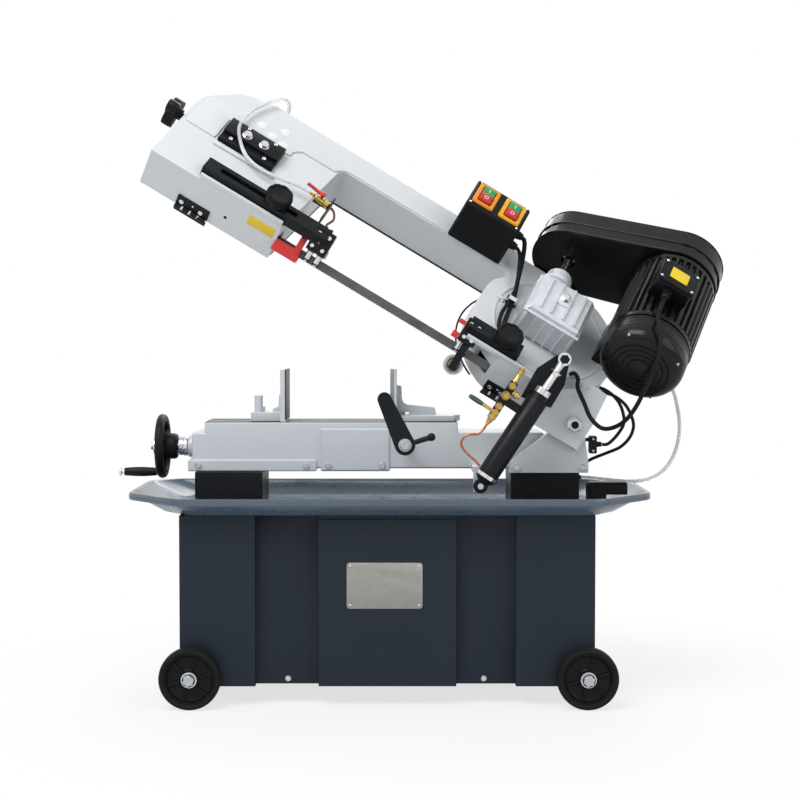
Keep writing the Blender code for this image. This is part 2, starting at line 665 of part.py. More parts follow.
def saw_blade():
    """The band: round both wheels, and turned by 45 degrees between the blade guides."""
    radius = BAND_WHEEL_RADIUS + BLADE_THICK / 2
    half_turn = 18
    sections = []

    def section(x, a, angle, twist):
        outward = Vector((math.cos(angle), math.sin(angle), 0))
        across = Vector((0, 0, 1))
        turn = Matrix.Rotation(twist, 3, "X")
        sections.append((Vector((x, a, 0)), turn @ outward, turn @ across))

    for i in range(half_turn + 1):
        angle = math.pi / 2 - math.pi * i / half_turn
        section(DRIVE_X + radius * math.cos(angle), radius * math.sin(angle), angle, 0)
    guides = ((-250, -1), (-675, -1))
    steps = 6
    for start, end, first, last in ((DRIVE_X, guides[0][0], 0, 1), (guides[1][0], IDLER_X, 1, 0)):
        for i in range(1, steps):
            share = i / steps
            twist = math.radians(BOW_LEAN) * (first + (last - first) * share)
            section(start + (end - start) * share, -radius, -math.pi / 2, -twist)
        if first == 0:
            for x in (guides[0][0], guides[1][0]):
                section(x, -radius, -math.pi / 2, -math.radians(BOW_LEAN))
    for i in range(half_turn + 1):
        angle = -math.pi / 2 - math.pi * i / half_turn
        section(IDLER_X + radius * math.cos(angle), radius * math.sin(angle), angle, 0)

    bm = bmesh.new()
    rings = []
    for centre, outward, across in sections:
        corners = [(1, 1), (1, -1), (-1, -1), (-1, 1)]
        rings.append([bm.verts.new((centre + outward * (BLADE_THICK / 2 * u)
                                    + across * (BLADE_WIDTH / 2 * v)) * MM) for u, v in corners])
    for ring, following in zip(rings, rings[1:] + rings[:1]):
        for i in range(4):
            j = (i + 1) % 4
            bm.faces.new((ring[i], following[i], following[j], ring[j]))
    bmesh.ops.recalc_face_normals(bm, faces=bm.faces)
    return piece("saw_blade", steel(), made_object(bm, BOW))


def tensioner():
    plate_low, plate_high = FACE + 0.4, FACE + 10
    outer = box((IDLER_X - 72, -25, plate_low), (IDLER_X + 61, 45, plate_high), BOW, bevel=1.5)
    neck = box((IDLER_X - 36, -12, 25), (IDLER_X + 30, 12, plate_high - 2), BOW)
    block = box((IDLER_X - 42, -20, 22), (IDLER_X + 40, 20, FACE - WALL - 0.4), BOW)
    axle = turned([(0, 26), (20, 26), (20, 18.4), (12, 18.4), (12, -24), (0, -24)],
                  (IDLER_X, 0, 0), (0, 0, 1), BOW, steps=20)
    thread = rod((IDLER_X - 60, 0, 34), (IDLER_X - 6, 0, 34), 6.5, BOW)
    slide = piece("tension_slide", black_paint(), outer, add=[neck, block, axle], cut=[thread])
    lobes = [((27 + 9 * math.cos(3 * t)) * math.cos(t), 34 + (27 + 9 * math.cos(3 * t)) * math.sin(t))
             for t in (2 * math.pi * i / 24 for i in range(24))]
    knob = plate(lobes, -1084, -1060, BOW, plane="YZ")
    screw = rod((-1062, 0, 34), (IDLER_X - 15, 0, 34), 6, BOW, sides=14)
    hub = rod((-1060.8, 0, 34), (-1051, 0, 34), 12, BOW)
    knob = piece("tension_knob", black_plastic(), knob, add=[hub, screw])
    return (axis_empty("tension_axis", BOW, (IDLER_X, 0, 0), [slide]),
            axis_empty("tension_knob_axis", BOW, (-1070, 0, 34), [knob]))


def blade_guides():
    """Sliding bars on the bow's face, each with a head of rollers on the blade."""
    blade_y = BOW_Y - (BAND_WHEEL_RADIUS + BLADE_THICK / 2) / math.sqrt(2)
    carriers = []
    for side, bar_x, slot_x, head_x, stud in (
            ("left", (-937, -640), (-902, -720), (-672, -628), -770),
            ("right", (-300, -178), (-226, -190), (-306, -268), -216)):
        bar = box((bar_x[0], -143, FACE + 0.4), (bar_x[1], -107, 75), BOW, bevel=1)
        head = box((head_x[0], -158, 27), (head_x[1], -130, 80), ARM, bevel=1)
        nose = box((head_x[0], -134, 27), (head_x[1], -102, 44), ARM)
        rollers = []
        for x in (head_x[0] + 11, head_x[1] - 11):
            for sign in (-1, 1):
                middle = blade_y + sign * (BLADE_THICK / 2 + 0.4 + 6.5)
                rollers.append(rod((x, middle, 5), (x, middle, 30), 6.5, ARM, sides=12))
        extra = []
        if side == "right":
            extra = [box((-292, -152, -34), (-276, -145, 32), ARM),
                     rod((-284, -148, -23), (-284, -106, -23), 4, ARM, sides=12)]
        slot = box((slot_x[0], -131, FACE - 5), (slot_x[1], -119, 90), BOW)
        guide = piece(side + "_guide", black_paint(), bar, add=[head, nose, *rollers, *extra],
                      cut=[slot])
        grips = [((26.5 + 2.5 * math.cos(8 * t)) * math.cos(t) + stud,
                  (26.5 + 2.5 * math.cos(8 * t)) * math.sin(t) - 125)
                 for t in (2 * math.pi * i / 32 for i in range(32))]
        knob = plate(grips, 84, 105, BOW)
        neck = rod((stud, -125, 75.4), (stud, -125, 86), 14, BOW)
        screw = rod((stud, -125, FACE - 6), (stud, -125, 77), 5, BOW, sides=14)
        knob = piece(side + "_guide_knob", black_plastic(), knob, add=[neck, screw])
        carriers.append(axis_empty(side + "_guide_slide", BOW, (stud, -125, 60), [guide]))
        carriers.append(axis_empty(side + "_knob_axis", BOW, (stud, -125, 95), [knob]))
    brush = turned([(22, 6), (22, -6), (9, -6), (9, -9), (4.4, -9), (4.4, 9), (9, 9), (9, 6)],
                   (-284, -120, -23), (0, -1, 0), ARM, steps=14)
    brush = piece("chip_brush", black_plastic(), brush)
    carriers.append(axis_empty("brush_axis", ARM, (-284, -120, -23), [brush]))
    return carriers


# ---------------------------------------------------------------- drive

def gearbox():
    low, high = FACE + 0.6, 137
    case = box((-215, -56, low), (-93, 57, high), BOW, bevel=5)
    cap = rod((WORM_X, 50, WORM_N), (WORM_X, 100, WORM_N), 28, BOW)
    flange = box((-220, -61, 118), (-88, 62, 124), BOW, bevel=2)
    ribs = [box((x, -50, high - 6), (x + 5, 50, high + 5), BOW) for x in (-196, -170, -142, -116)]
    cavity = box((-208, -48, 58), (-100, 44, 129), BOW)
    shaft_hole = rod((DRIVE_X, 0, 40), (DRIVE_X, 0, 70), 15, BOW)
    worm_hole = rod((WORM_X, 40, WORM_N), (WORM_X, 110, WORM_N), 10.5, BOW)
    return piece("gearbox_housing", aluminium(), case, add=[cap, flange, *ribs],
                 cut=[cavity, shaft_hole, worm_hole])


def drive_train():
    low, high = PULLEY_A
    worm = turned([(0, high + 8), (10, high + 8), (10, high), (WORM_PULLEY_RADIUS, high),
                   (WORM_PULLEY_RADIUS, low), (10, low), (10, 42), (9.1, 42), (9.1, -42),
                   (0, -42)], (WORM_X, 0, WORM_N), (0, 1, 0), BOW, steps=24)
    worm = piece("worm_shaft", steel(), worm)
    pulley = turned([(0, high + 8), (9.5, high + 8), (9.5, high), (MOTOR_PULLEY_RADIUS, high),
                     (MOTOR_PULLEY_RADIUS, low), (9.5, low), (9.5, 138), (0, 138)],
                    (MOTOR_X, 0, MOTOR_N), (0, 1, 0), BOW, steps=24)
    pulley = piece("motor_pulley", aluminium(), pulley)
    inner = stadium((WORM_X, WORM_N), WORM_PULLEY_RADIUS + 1.2, (MOTOR_X, MOTOR_N),
                    MOTOR_PULLEY_RADIUS + 1.2)
    outer = inset(inner, -6)
    belt = plate(outer, low + 3, high - 3, BOW, plane="XZ", holes=[inner])
    belt = piece("drive_belt", rubber(), belt)
    return (axis_empty("worm_axis", BOW, (WORM_X, 0, WORM_N), [worm]),
            axis_empty("motor_axis", BOW, (MOTOR_X, 0, MOTOR_N), [pulley]), belt)


def motor():
    body = turned([(0, 158), (86, 158), (MOTOR_RADIUS, 152), (MOTOR_RADIUS, -50), (86, -54),
                   (86, -60), (88, -66), (88, -112), (70, -124), (0, -124)],
                  (MOTOR_X, 0, MOTOR_N), (0, 1, 0), BOW, steps=24)
    spigot = rod((MOTOR_X, 150, MOTOR_N), (MOTOR_X, 162.5, MOTOR_N), 55, BOW)
    mount = box((-36, -10, FACE + 0.6), (76, 95, 130), BOW, bevel=2)
    terminals = box((-27, 4, 272), (55, 66, 328), BOW, bevel=4)
    gland = rod((8, 6, 300), (8, -14, 300), 9, BOW)
    feet = [box((x, -60, 112), (x + 14, 130, 125), BOW) for x in (-14, 74)]
    bore = rod((MOTOR_X, 134, MOTOR_N), (MOTOR_X, 170, MOTOR_N), 10.2, BOW)
    return piece("motor", black_paint(), body, add=[spigot, mount, terminals, gland, *feet],
                 cut=[bore])


def belt_guard():
    ends = ((WORM_X, WORM_N), GUARD_RADII[0], (MOTOR_X, MOTOR_N), GUARD_RADII[1])
    outline = stadium(*ends)
    inner = inset(outline, 3)
    middle = 194.0
    base = plate(outline, GUARD_A[0], middle, BOW, plane="XZ")
    hollow = plate(inner, GUARD_A[0] + 3, middle + 9, BOW, plane="XZ")
    holes = [rod((x, 150, n), (x, 180, n), radius, BOW)
             for x, n, radius in ((WORM_X, WORM_N, 16), (MOTOR_X, MOTOR_N, 16))]
    base = piece("belt_guard_base", black_paint(), base, cut=[hollow, *holes])
    lid = plate(outline, middle + 0.3, GUARD_A[1], BOW, plane="XZ")
    hollow = plate(inner, middle - 9, GUARD_A[1] - 3, BOW, plane="XZ")
    lid = piece("belt_guard_lid", black_paint(), lid, cut=[hollow])
    return base, axis_empty("lid_slide", BOW, (0, GUARD_A[1], WORM_N), [lid])


def control_box():
    low, high, top = FACE + 0.5, 160, 180
    case = box((-437, 95, low), (-307, top, high), BOW, bevel=4)
    hollow = box((-431, 101, low - 5), (-313, top - 6, high - 5), BOW)
    axes, holes = [], []
    for number, x in enumerate((-404, -340), start=1):
        for kind, a, colour in (("start", 150, (0.02, 0.35, 0.08)), ("stop", 124, (0.6, 0.02, 0.02))):
            holes.append(rod((x, a, 140), (x, a, 175), 8.4, BOW, sides=16))
            cap = turned([(0, high + 8), (9, high + 8), (10.5, high + 6), (10.5, high + 4),
                          (8, high + 4), (8, high - 12), (0, high - 12)],
                         (x, a, 0), (0, 0, 1), BOW, steps=14)
            name = f"{kind}_button_{number}"
            button = piece(name, coloured(kind + "_colour", colour), cap)
            axes.append(axis_empty(name + "_axis", BOW, (x, a, high), [button]))
    return piece("control_box", black_plastic(), case, cut=[hollow, *holes]), axes


# ---------------------------------------------------------------- hydraulic feed

def feed_cylinder():
    length = CYLINDER_LENGTH
    barrel = turned([(0, 226), (17, 226), (17, 214), (22.5, 212), (22.5, 18), (14, 10), (0, 10)],
                    (0, 0, 0), (0, 0, 1), FEED, steps=20)
    eye = rod((0, -7, 0), (0, 7, 0), 15, FEED)
    arm = box((-62, -7, 166), (-12, 7, 184), FEED)
    block = box((-68, -8, 128), (-51, 8, 217), FEED, bevel=1)
    bore = rod((0, 0, 30), (0, 0, 240), 12.5, FEED)
    pin_hole = rod((0, -20, 0), (0, 20, 0), 6.4, FEED)
    barrel = piece("feed_cylinder", black_paint(), barrel, add=[eye, arm, block],
                   cut=[bore, pin_hole])
    foot = axis_empty("feed_foot", FEED, (0, 0, 0), [barrel])
    lever = box((-122, -18, 139), (-53, -12.5, 148), FEED, bevel=1)
    hub = rod((-59.5, -19, 143.5), (-59.5, -8.4, 143.5), 7, FEED)
    lever = piece("feed_valve_lever", brass(), lever, add=[hub])
    hang(axis_empty("feed_lever_axis", FEED, (-59.5, 0, 143.5), [lever]), foot)

    stem = rod((0, 0, 100), (0, 0, length - 10), 8, LEVEL_FEED)
    eye = rod((0, -7, length), (0, 7, length), 14, LEVEL_FEED)
    pin_hole = rod((0, -20, length), (0, 20, length), 6.4, LEVEL_FEED)
    stem = piece("feed_rod", steel(), stem, add=[eye], cut=[pin_hole])
    head = axis_empty("feed_eye", LEVEL_FEED, (0, 0, length), [stem])

    eye_place = ARM.inverted() @ LEVEL_FEED @ Vector((0, 0, length * MM)) / MM
    x, z = eye_place.x, eye_place.z
    wedge = plate(((-146, FACE + 0.5), (-88, FACE + 0.5), (-88, 58), (-100, 98), (-106, 100),
                   (-128, 64), (-146, 56)), x - 13, x + 12, BOW, plane="YZ")
    cheek = plate(((-133, 60), (-131, -8), (-66, 4), (-66, 60), (-80, 100), (-96, 118),
                   (-112, 104)), -162.8, -158, ARM, plane="XZ")
    stud = rod((x, -197, z), (x, -160, z), 6, ARM)
    nut = rod((x, -201.5, z), (x, -194.5, z), 10, ARM, sides=6)
    bracket = piece("feed_bracket", black_paint(), cheek, add=[wedge, stud, nut])
    return head, bracket


# ---------------------------------------------------------------- hoses and cables

def cords():
    """Hoses and cables that hang free, at their real length; all in the rest pose."""
    at_rest = RAISE.inverted()
    coolant_hose = [(393, 20, 455), (412, 20, 454), (440, 20, 451), (470, 17, 448), (500, 11, 447),
                    (527, 5, 450), (553, 1, 460), (576, 0, 480), (593, 4, 508), (603, 9, 542),
                    (606, 18, 575), (603, 28, 608), (596, 36, 640), (580, 38, 668), (552, 34, 690),
                    (515, 25, 704), (485, 16, 713), (465.5, 12.2, 714.5)]
    spray_hose = [(-878, 182, 20), (-878, 196, 23), (-883, 203, 40), (-895, 190, 60),
                  (-911, 160, 66), (-928, 118, 66), (-937, 70, 66), (-932, 25, 66),
                  (-911, -10, 66), (-884, -38, 66), (-852, -50, 66), (-820, -52, 68),
                  (-788, -48, 70), (-756, -40, 70), (-728, -38, 70)]
    motor_cable = [(529.3, -239.1, 839.8), (521.1, -257.8, 826.1), (509, -285, 803),
                   (510, -313, 762), (505, -320, 723),
                   (494, -312, 689), (482, -296, 659), (471, -268, 626), (455, -236, 596),
                   (435, -205, 578), (412, -178, 574), (391, -160, 594), (378, -152, 625),
                   (365, -149, 656), (366, -142, 676), (360, -126, 686), (353.9, -112.4, 684.2)]
    switch_cable = [(425, -77, 534), (436, -78, 534), (449, -80, 545), (462, -84, 562),
                    (470, -88, 580), (467, -92, 603), (458, -93, 624),
                    (444, -83, 641), (431, -70, 650), (420.3, -65.6, 654)]
    pump_cable = [(397.2, -40, 494), (412, -42, 502), (440, -50, 514), (467, -58, 527),
                  (486, -64, 548), (493, -70, 572), (487, -74, 596), (475, -68, 618),
                  (455, -55, 635), (436, -39, 642), (421.5, -30.6, 645.6)]
    control_cable = [(-300, 157, 100), (-284, 150, 100), (-268, 118, 82), (-254, 70, 64),
                     (-243, 20, 58), (-238, -40, 58), (-230, -84, 57), (-206, -88, 56)]
    made = []
    for name, route, radius, frame in (
            ("coolant_hose", coolant_hose, 4.0, WORLD), ("spray_hose", spray_hose, 4.0, BOW),
            ("motor_cable", motor_cable, 4.5, at_rest), ("switch_cable", switch_cable, 3.5, WORLD),
            ("pump_cable", pump_cable, 3.5, WORLD), ("control_cable", control_cable, 5.0, BOW)):
        look = hose_plastic() if "hose" in name else rubber()
        made.append(piece(name, look, tube(route, radius, frame)))
    on_arm = [cord for cord in made if cord.name in ("spray_hose", "motor_cable", "control_cable")]
    return on_arm


def arm():
    pieces = [bow_frame(), wheel_cover(), saw_blade(), *tensioner(), *blade_guides(),
              gearbox(), *drive_train(), motor(), *belt_guard(), *feed_cylinder(), *cords()]
    idler_axis, drive_axis = band_wheels()
    case, button_axes = control_box()
    pieces += [drive_axis, case, *button_axes]
    hang(idler_axis, bpy.data.objects["tension_axis"])
    pivot = axis_empty("arm_pivot_axis", ARM, (0, 0, 0), pieces)
    pivot.rotation_euler.y = math.radians(REST_ANGLE)


def main():
    clear_scene()
    stand()
    chip_tray()
    risers()
    transport_wheels()
    bed()
    vise()
    work_stop()
    pivot_bracket()
    tray_fittings()
    arm()
    bpy.context.view_layer.update()
    datum = axis_empty("datum", WORLD, (0, 0, 0),
                       [top for top in SAW.objects if top.parent is None])
    datum.location = Vector((-CENTRE[0], -CENTRE[1], 0.0)) * MM


main()
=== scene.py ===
"""Looks of a horizontal metal-cutting band saw on a wheeled stand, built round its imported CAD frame.

Lengths are in millimetres and turned to metres by MM. Pieces are placed in four frames read from the
joints: MACHINE (the stand's datum), ARM (the pivot, along the raised arm), BOW (the leaning bow: along
it, up its face, out of its face) and FEED (the hydraulic cylinder, from its foot to the rod's eye).
"""

import json
import math

import bmesh
import bpy
import numpy as np
from bpy.props import FloatProperty, FloatVectorProperty, IntProperty, PointerProperty
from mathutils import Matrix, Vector

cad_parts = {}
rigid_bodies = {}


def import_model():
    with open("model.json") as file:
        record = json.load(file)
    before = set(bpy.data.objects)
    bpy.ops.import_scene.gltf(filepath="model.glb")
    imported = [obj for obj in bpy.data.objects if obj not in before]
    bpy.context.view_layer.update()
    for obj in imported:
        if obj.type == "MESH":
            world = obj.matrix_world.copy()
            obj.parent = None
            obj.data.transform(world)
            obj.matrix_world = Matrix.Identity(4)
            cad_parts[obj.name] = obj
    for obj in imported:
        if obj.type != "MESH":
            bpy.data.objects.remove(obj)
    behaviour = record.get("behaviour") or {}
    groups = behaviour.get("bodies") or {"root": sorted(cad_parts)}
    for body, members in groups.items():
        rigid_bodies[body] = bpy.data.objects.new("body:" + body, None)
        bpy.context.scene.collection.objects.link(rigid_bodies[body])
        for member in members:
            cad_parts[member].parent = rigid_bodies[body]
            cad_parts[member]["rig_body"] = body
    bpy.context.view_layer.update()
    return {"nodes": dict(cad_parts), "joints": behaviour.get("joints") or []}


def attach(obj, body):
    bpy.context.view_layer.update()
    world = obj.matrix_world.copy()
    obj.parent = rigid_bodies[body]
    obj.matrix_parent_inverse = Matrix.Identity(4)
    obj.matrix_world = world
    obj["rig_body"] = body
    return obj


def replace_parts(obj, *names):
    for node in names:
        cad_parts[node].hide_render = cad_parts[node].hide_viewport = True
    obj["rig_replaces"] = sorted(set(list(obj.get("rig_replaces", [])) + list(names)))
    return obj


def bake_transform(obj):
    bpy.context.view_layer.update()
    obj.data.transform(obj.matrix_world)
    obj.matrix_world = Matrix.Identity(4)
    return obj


bl_info = {
    "name": "Band Saw Looks",
    "version": (1, 0, 0),
    "blender": (4, 5, 0),
    "location": "3D View > Sidebar > Band Saw",
    "description": "Builds the finish, hoses, fittings and studio of a metal-cutting band saw",
    "category": "Object",
}

MM = 0.001
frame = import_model()
JOINTS = {joint["name"]: joint for joint in frame["joints"]}


# ------------------------------------------------------------------ frames

def joint_place(name):
    return np.array(JOINTS[name]["pos_m"])


def joint_axis(name):
    axis = np.array(JOINTS[name]["axis"], float)
    return axis / np.linalg.norm(axis)


def frame_of(origin, x, y, z):
    """A 4x4 frame from its origin in metres and its three unit axes."""
    made = np.eye(4)
    made[:3, 0], made[:3, 1], made[:3, 2], made[:3, 3] = x, y, z, origin
    return made


def feed_frame():
    foot, eye = joint_place("cylinder_swing"), joint_place("piston_rod_swing")
    up = (eye - foot) / np.linalg.norm(eye - foot)
    across = joint_axis("cylinder_swing")
    return frame_of(foot, np.cross(across, up), across, up)


ALONG, UP_FACE, OUT = (joint_axis(n) for n in ("tension_block_slide", "worm_spin", "drive_spin"))
PIVOT_HEIGHT, PIVOT_X, DRIVE_X = 577.5, 362.4, -143.0
MACHINE = frame_of(joint_place("arm_pivot") - np.array((PIVOT_X, 0, PIVOT_HEIGHT)) * MM, *np.eye(3))
ARM = frame_of(joint_place("arm_pivot"), ALONG, np.array((0, 1, 0)), np.cross(ALONG, (0, 1, 0)))
BOW = frame_of(joint_place("drive_spin") - ALONG * DRIVE_X * MM, ALONG, UP_FACE, OUT)
FEED = feed_frame()


def put(place, points):
    """Millimetre points of a frame as metre points of the model."""
    return np.asarray(points, float) * MM @ place[:3, :3].T + place[:3, 3]


# ------------------------------------------------------------------ shapes: arrays of points and faces

def arc(centre, radius, start, end, count):
    """Points at even angles on a circle: centre + radius (cos t, sin t), t in degrees."""
    t = np.radians(np.linspace(start, end, count))
    return np.stack((centre[0] + radius * np.cos(t), centre[1] + radius * np.sin(t)), 1)


def rounded(corners, radius, count=5):
    """A convex or concave outline whose corners are arcs tangent to both sides.

    At each corner the arc is the quadratic blend (1-t)^2 A + 2t(1-t) C + t^2 B of the two tangent
    points A and B and the corner C.
    """
    corners = np.asarray(corners, float)
    radius = np.broadcast_to(np.asarray(radius, float), len(corners))[:, None]
    back, ahead = np.roll(corners, 1, 0) - corners, np.roll(corners, -1, 0) - corners
    long_back, long_ahead = (np.linalg.norm(v, axis=1, keepdims=True) for v in (back, ahead))
    reach = np.minimum(radius, 0.49 * np.minimum(long_back, long_ahead))
    start, end = corners + back / long_back * reach, corners + ahead / long_ahead * reach
    t = np.linspace(0, 1, count)[None, :, None]
    blend = (1 - t) ** 2 * start[:, None] + 2 * t * (1 - t) * corners[:, None] + t ** 2 * end[:, None]
    return blend.reshape(-1, 2)


def rectangle(low, high, radius=0.0, count=4):
    """An anticlockwise rectangle between two corners, with rounded corners."""
    (x0, y0), (x1, y1) = low, high
    return rounded(((x0, y0), (x1, y0), (x1, y1), (x0, y1)), radius, count)


def inset(outline, distance):
    """An anticlockwise outline moved inward: each point along the mean of its two edge normals."""
    edge = np.roll(outline, -1, 0) - outline
    edge /= np.maximum(np.linalg.norm(edge, axis=1, keepdims=True), 1e-9)
    normal = np.stack((-edge[:, 1], edge[:, 0]), 1)
    middle = normal + np.roll(normal, 1, 0)
    return outline + middle * (2 * distance / np.maximum((middle ** 2).sum(1, keepdims=True), 0.5))


def lofted(rings, caps=True, loop=False):
    """Quads between rings of points, shape (rings, points, 3), with flat ends or joined in a loop."""
    rings = np.asarray(rings, float)
    count, across = rings.shape[:2]
    index = np.arange(count * across).reshape(count, across)
    low = index if loop else index[:-1]
    high = np.roll(index, -1, 0) if loop else index[1:]
    quads = np.stack((low, np.roll(low, -1, 1), np.roll(high, -1, 1), high), -1).reshape(-1, 4)
    faces = quads.tolist()
    if caps and not loop:
        faces += [index[0][::-1].tolist(), index[-1].tolist()]
    points = rings.reshape(-1, 3)
    a, b, c, d = (points[quads[:, i]] for i in range(4))
    volume = (np.cross(b, c) * a).sum() + (np.cross(c, d) * a).sum()
    if caps and not loop:
        for ring, sign in ((rings[0], -1), (rings[-1], 1)):
            volume += sign * (np.cross(ring[1:-1], ring[2:]) * ring[0]).sum()
    if volume < 0:
        faces = [face[::-1] for face in faces]
    return points, faces


def slab(outline, steps, place, plane="XY"):
    """An outline carried up through (inset, height) steps: the profile of the slab's edge."""
    rings = []
    for distance, height in steps:
        loop = inset(outline, distance) if distance else outline
        rings.append(in_plane(loop, height, plane))
    rings = np.array(rings)
    return lofted(put(place, rings.reshape(-1, 3)).reshape(rings.shape))


def in_plane(loop, height, plane):
    """2D points at a height across a plane of the frame, named by its two axes."""
    order = {"XY": (0, 1, 2), "XZ": (0, 2, 1), "YZ": (2, 0, 1)}[plane]
    loop = np.asarray(loop, float)
    stacked = np.stack((loop[:, 0], loop[:, 1], np.full(len(loop), float(height))), 1)
    return stacked[:, order]


def soft_edge(low, high, radius, count=3):
    """(inset, height) steps of a slab whose two rims are quarter circles."""
    t = np.linspace(0, math.pi / 2, count + 1)
    lower = [(radius * (1 - math.sin(a)), low + radius * (1 - math.cos(a))) for a in t]
    return lower + [(i, low + high - h) for i, h in reversed(lower)]


def block(low, high, place, radius=1.5, corner=None):
    """A rounded box between two corners: a rounded rectangle with soft rims."""
    low, high = np.asarray(low, float), np.asarray(high, float)
    return slab(rectangle(low[:2], high[:2], radius if corner is None else corner),
                soft_edge(low[2], high[2], radius), place)


def basis(direction):
    """Three unit axes of which the last is the direction."""
    w = np.asarray(direction, float) / np.linalg.norm(direction)
    u = np.cross(w, (0, 0, 1) if abs(w[2]) < 0.9 else (0, 1, 0))
    u /= np.linalg.norm(u)
    return u, np.cross(w, u), w


def turned(profile, start, direction, place, sides=32, phase=0.0):
    """A profile of (radius, height) turned about an axis: start + r (cos t u + sin t v) + h w."""
    u, v, w = basis(direction)
    t = np.linspace(0, 2 * math.pi, sides, endpoint=False) + phase
    spoke = np.cos(t)[:, None] * u + np.sin(t)[:, None] * v
    profile = np.maximum(np.asarray(profile, float), (1e-4, -1e9))
    rings = np.asarray(start, float) + profile[:, :1, None] * spoke + profile[:, 1:, None] * w
    ring = profile[0][0] > 0.01 and profile[-1][0] > 0.01
    return lofted(put(place, rings.reshape(-1, 3)).reshape(rings.shape), caps=not ring, loop=ring)


def rod(start, end, radius, place, soft=1.0, sides=24):
    """A round bar with eased ends."""
    start, end = np.asarray(start, float), np.asarray(end, float)
    length = np.linalg.norm(end - start)
    soft = min(soft, 0.45 * radius, 0.45 * length)
    return turned([(0, 0), (radius - soft, 0), (radius - 0.3 * soft, 0.3 * soft), (radius, soft),
                   (radius, length - soft), (radius - 0.3 * soft, length - 0.3 * soft),
                   (radius - soft, length), (0, length)], start, end - start, place, sides)


def hex_head(at, direction, size, height, place, phase=0.0):
    """A hexagon head with a chamfered crown on a washer."""
    half = size / math.sqrt(3)
    head = turned([(0, 0), (half, 0), (half, 0.8 * height), (0.86 * half, height), (0, height)],
                  at, direction, place, 6, phase)
    washer = turned([(0, -0.2), (1.12 * half, -0.2), (1.18 * half, 0.5), (1.12 * half, 1.2), (0, 1.2)],
                    at, direction, place, 28)
    return [washer, head]


def socket_head(at, direction, radius, height, place):
    """A cap screw with a hexagon socket, shown as a six-sided pit in a turned head."""
    u, v, w = basis(direction)
    at = np.asarray(at, float)
    t = np.linspace(0, 2 * math.pi, 24, endpoint=False)
    spoke = np.cos(t)[:, None] * u + np.sin(t)[:, None] * v
    six = 0.52 * radius / np.cos((t + math.pi / 6) % (math.pi / 3) - math.pi / 6)
    rows = [(radius, 0), (radius, height - 0.6), (radius - 0.6, height)]
    rings = [at + r * spoke + h * w for r, h in rows]
    rings += [at + six[:, None] * spoke + height * w, at + six[:, None] * spoke + 0.45 * height * w]
    rings = np.array(rings)
    return [lofted(put(place, rings.reshape(-1, 3)).reshape(rings.shape))]


def smooth_path(points, spacing):
    """Evenly spaced points on the Catmull-Rom curve through a route, in the route's units."""
    route = np.asarray(points, float)
    route = np.vstack((2 * route[0] - route[1], route, 2 * route[-1] - route[-2]))
    t = np.linspace(0, 1, 24, endpoint=False)[:, None]
    a, b, c, d = (route[i:len(route) - 3 + i, None, :] for i in range(4))
    fine = 0.5 * (2 * b + (c - a) * t + (2 * a - 5 * b + 4 * c - d) * t ** 2
                  + (3 * b - a - 3 * c + d) * t ** 3)
    fine = np.vstack((fine.reshape(-1, 3), route[-2]))
    run = np.concatenate(([0], np.cumsum(np.linalg.norm(np.diff(fine, axis=0), axis=1))))
    even = np.linspace(0, run[-1], max(3, round(run[-1] / spacing)))
    return np.stack([np.interp(even, run, fine[:, i]) for i in range(3)], 1)


def swept(path, radius, sides=12, loop=False):
    """A round section carried along a path, kept from twisting by the rotation-minimising frame.

    The frame at each point is the last one turned from the old tangent to the new one; radius may be
    one number or one for each point.
    """
    path = np.asarray(path, float)
    if loop:
        tangent = np.roll(path, -1, 0) - np.roll(path, 1, 0)
    else:
        tangent = np.gradient(path, axis=0)
    tangent /= np.linalg.norm(tangent, axis=1, keepdims=True)
    u = basis(tangent[0])[0]
    across = []
    for direction in tangent:
        u = u - direction * (u @ direction)
        u = u / np.linalg.norm(u)
        across.append(u)
    across = np.array(across)
    other = np.cross(tangent, across)
    t = np.linspace(0, 2 * math.pi, sides, endpoint=False)
    radius = np.broadcast_to(np.asarray(radius, float), len(path))[:, None, None]
    rings = path[:, None] + radius * (np.cos(t)[None, :, None] * across[:, None]
                                      + np.sin(t)[None, :, None] * other[:, None])
    return lofted(rings, loop=loop)


# ------------------------------------------------------------------ pieces

def mesh_piece(name, shapes, look, body, smooth=35.0, replaces=()):
    """One object made of closed shapes, that rides on a body of the machine."""
    points, faces, start = [], [], 0
    for shape_points, shape_faces in shapes:
        points.append(shape_points)
        faces += [[i + start for i in face] for face in shape_faces]
        start += len(shape_points)
    mesh = bpy.data.meshes.new(name)
    mesh.from_pydata(np.vstack(points).tolist(), [], faces)
    made = bpy.data.objects.new(name, mesh)
    bpy.context.scene.collection.objects.link(made)
    merge_points(mesh)
    return finished(made, look, body, smooth, replaces)


def merge_points(mesh, distance=1e-6):
    bm = bmesh.new()
    bm.from_mesh(mesh)
    bmesh.ops.remove_doubles(bm, verts=bm.verts, dist=distance)
    bmesh.ops.dissolve_degenerate(bm, edges=bm.edges, dist=distance)
    bm.to_mesh(mesh)
    bm.free()


def finished(made, look, body, smooth=35.0, replaces=()):
    """Give a piece its material and shading, and join it to a body."""
    made.data.materials.clear()
    made.data.materials.append(look)
    made.data.shade_smooth()
    made.data.set_sharp_from_angle(angle=math.radians(smooth))
    if body:
        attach(made, body)
    if replaces:
        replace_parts(made, *replaces)
    return made


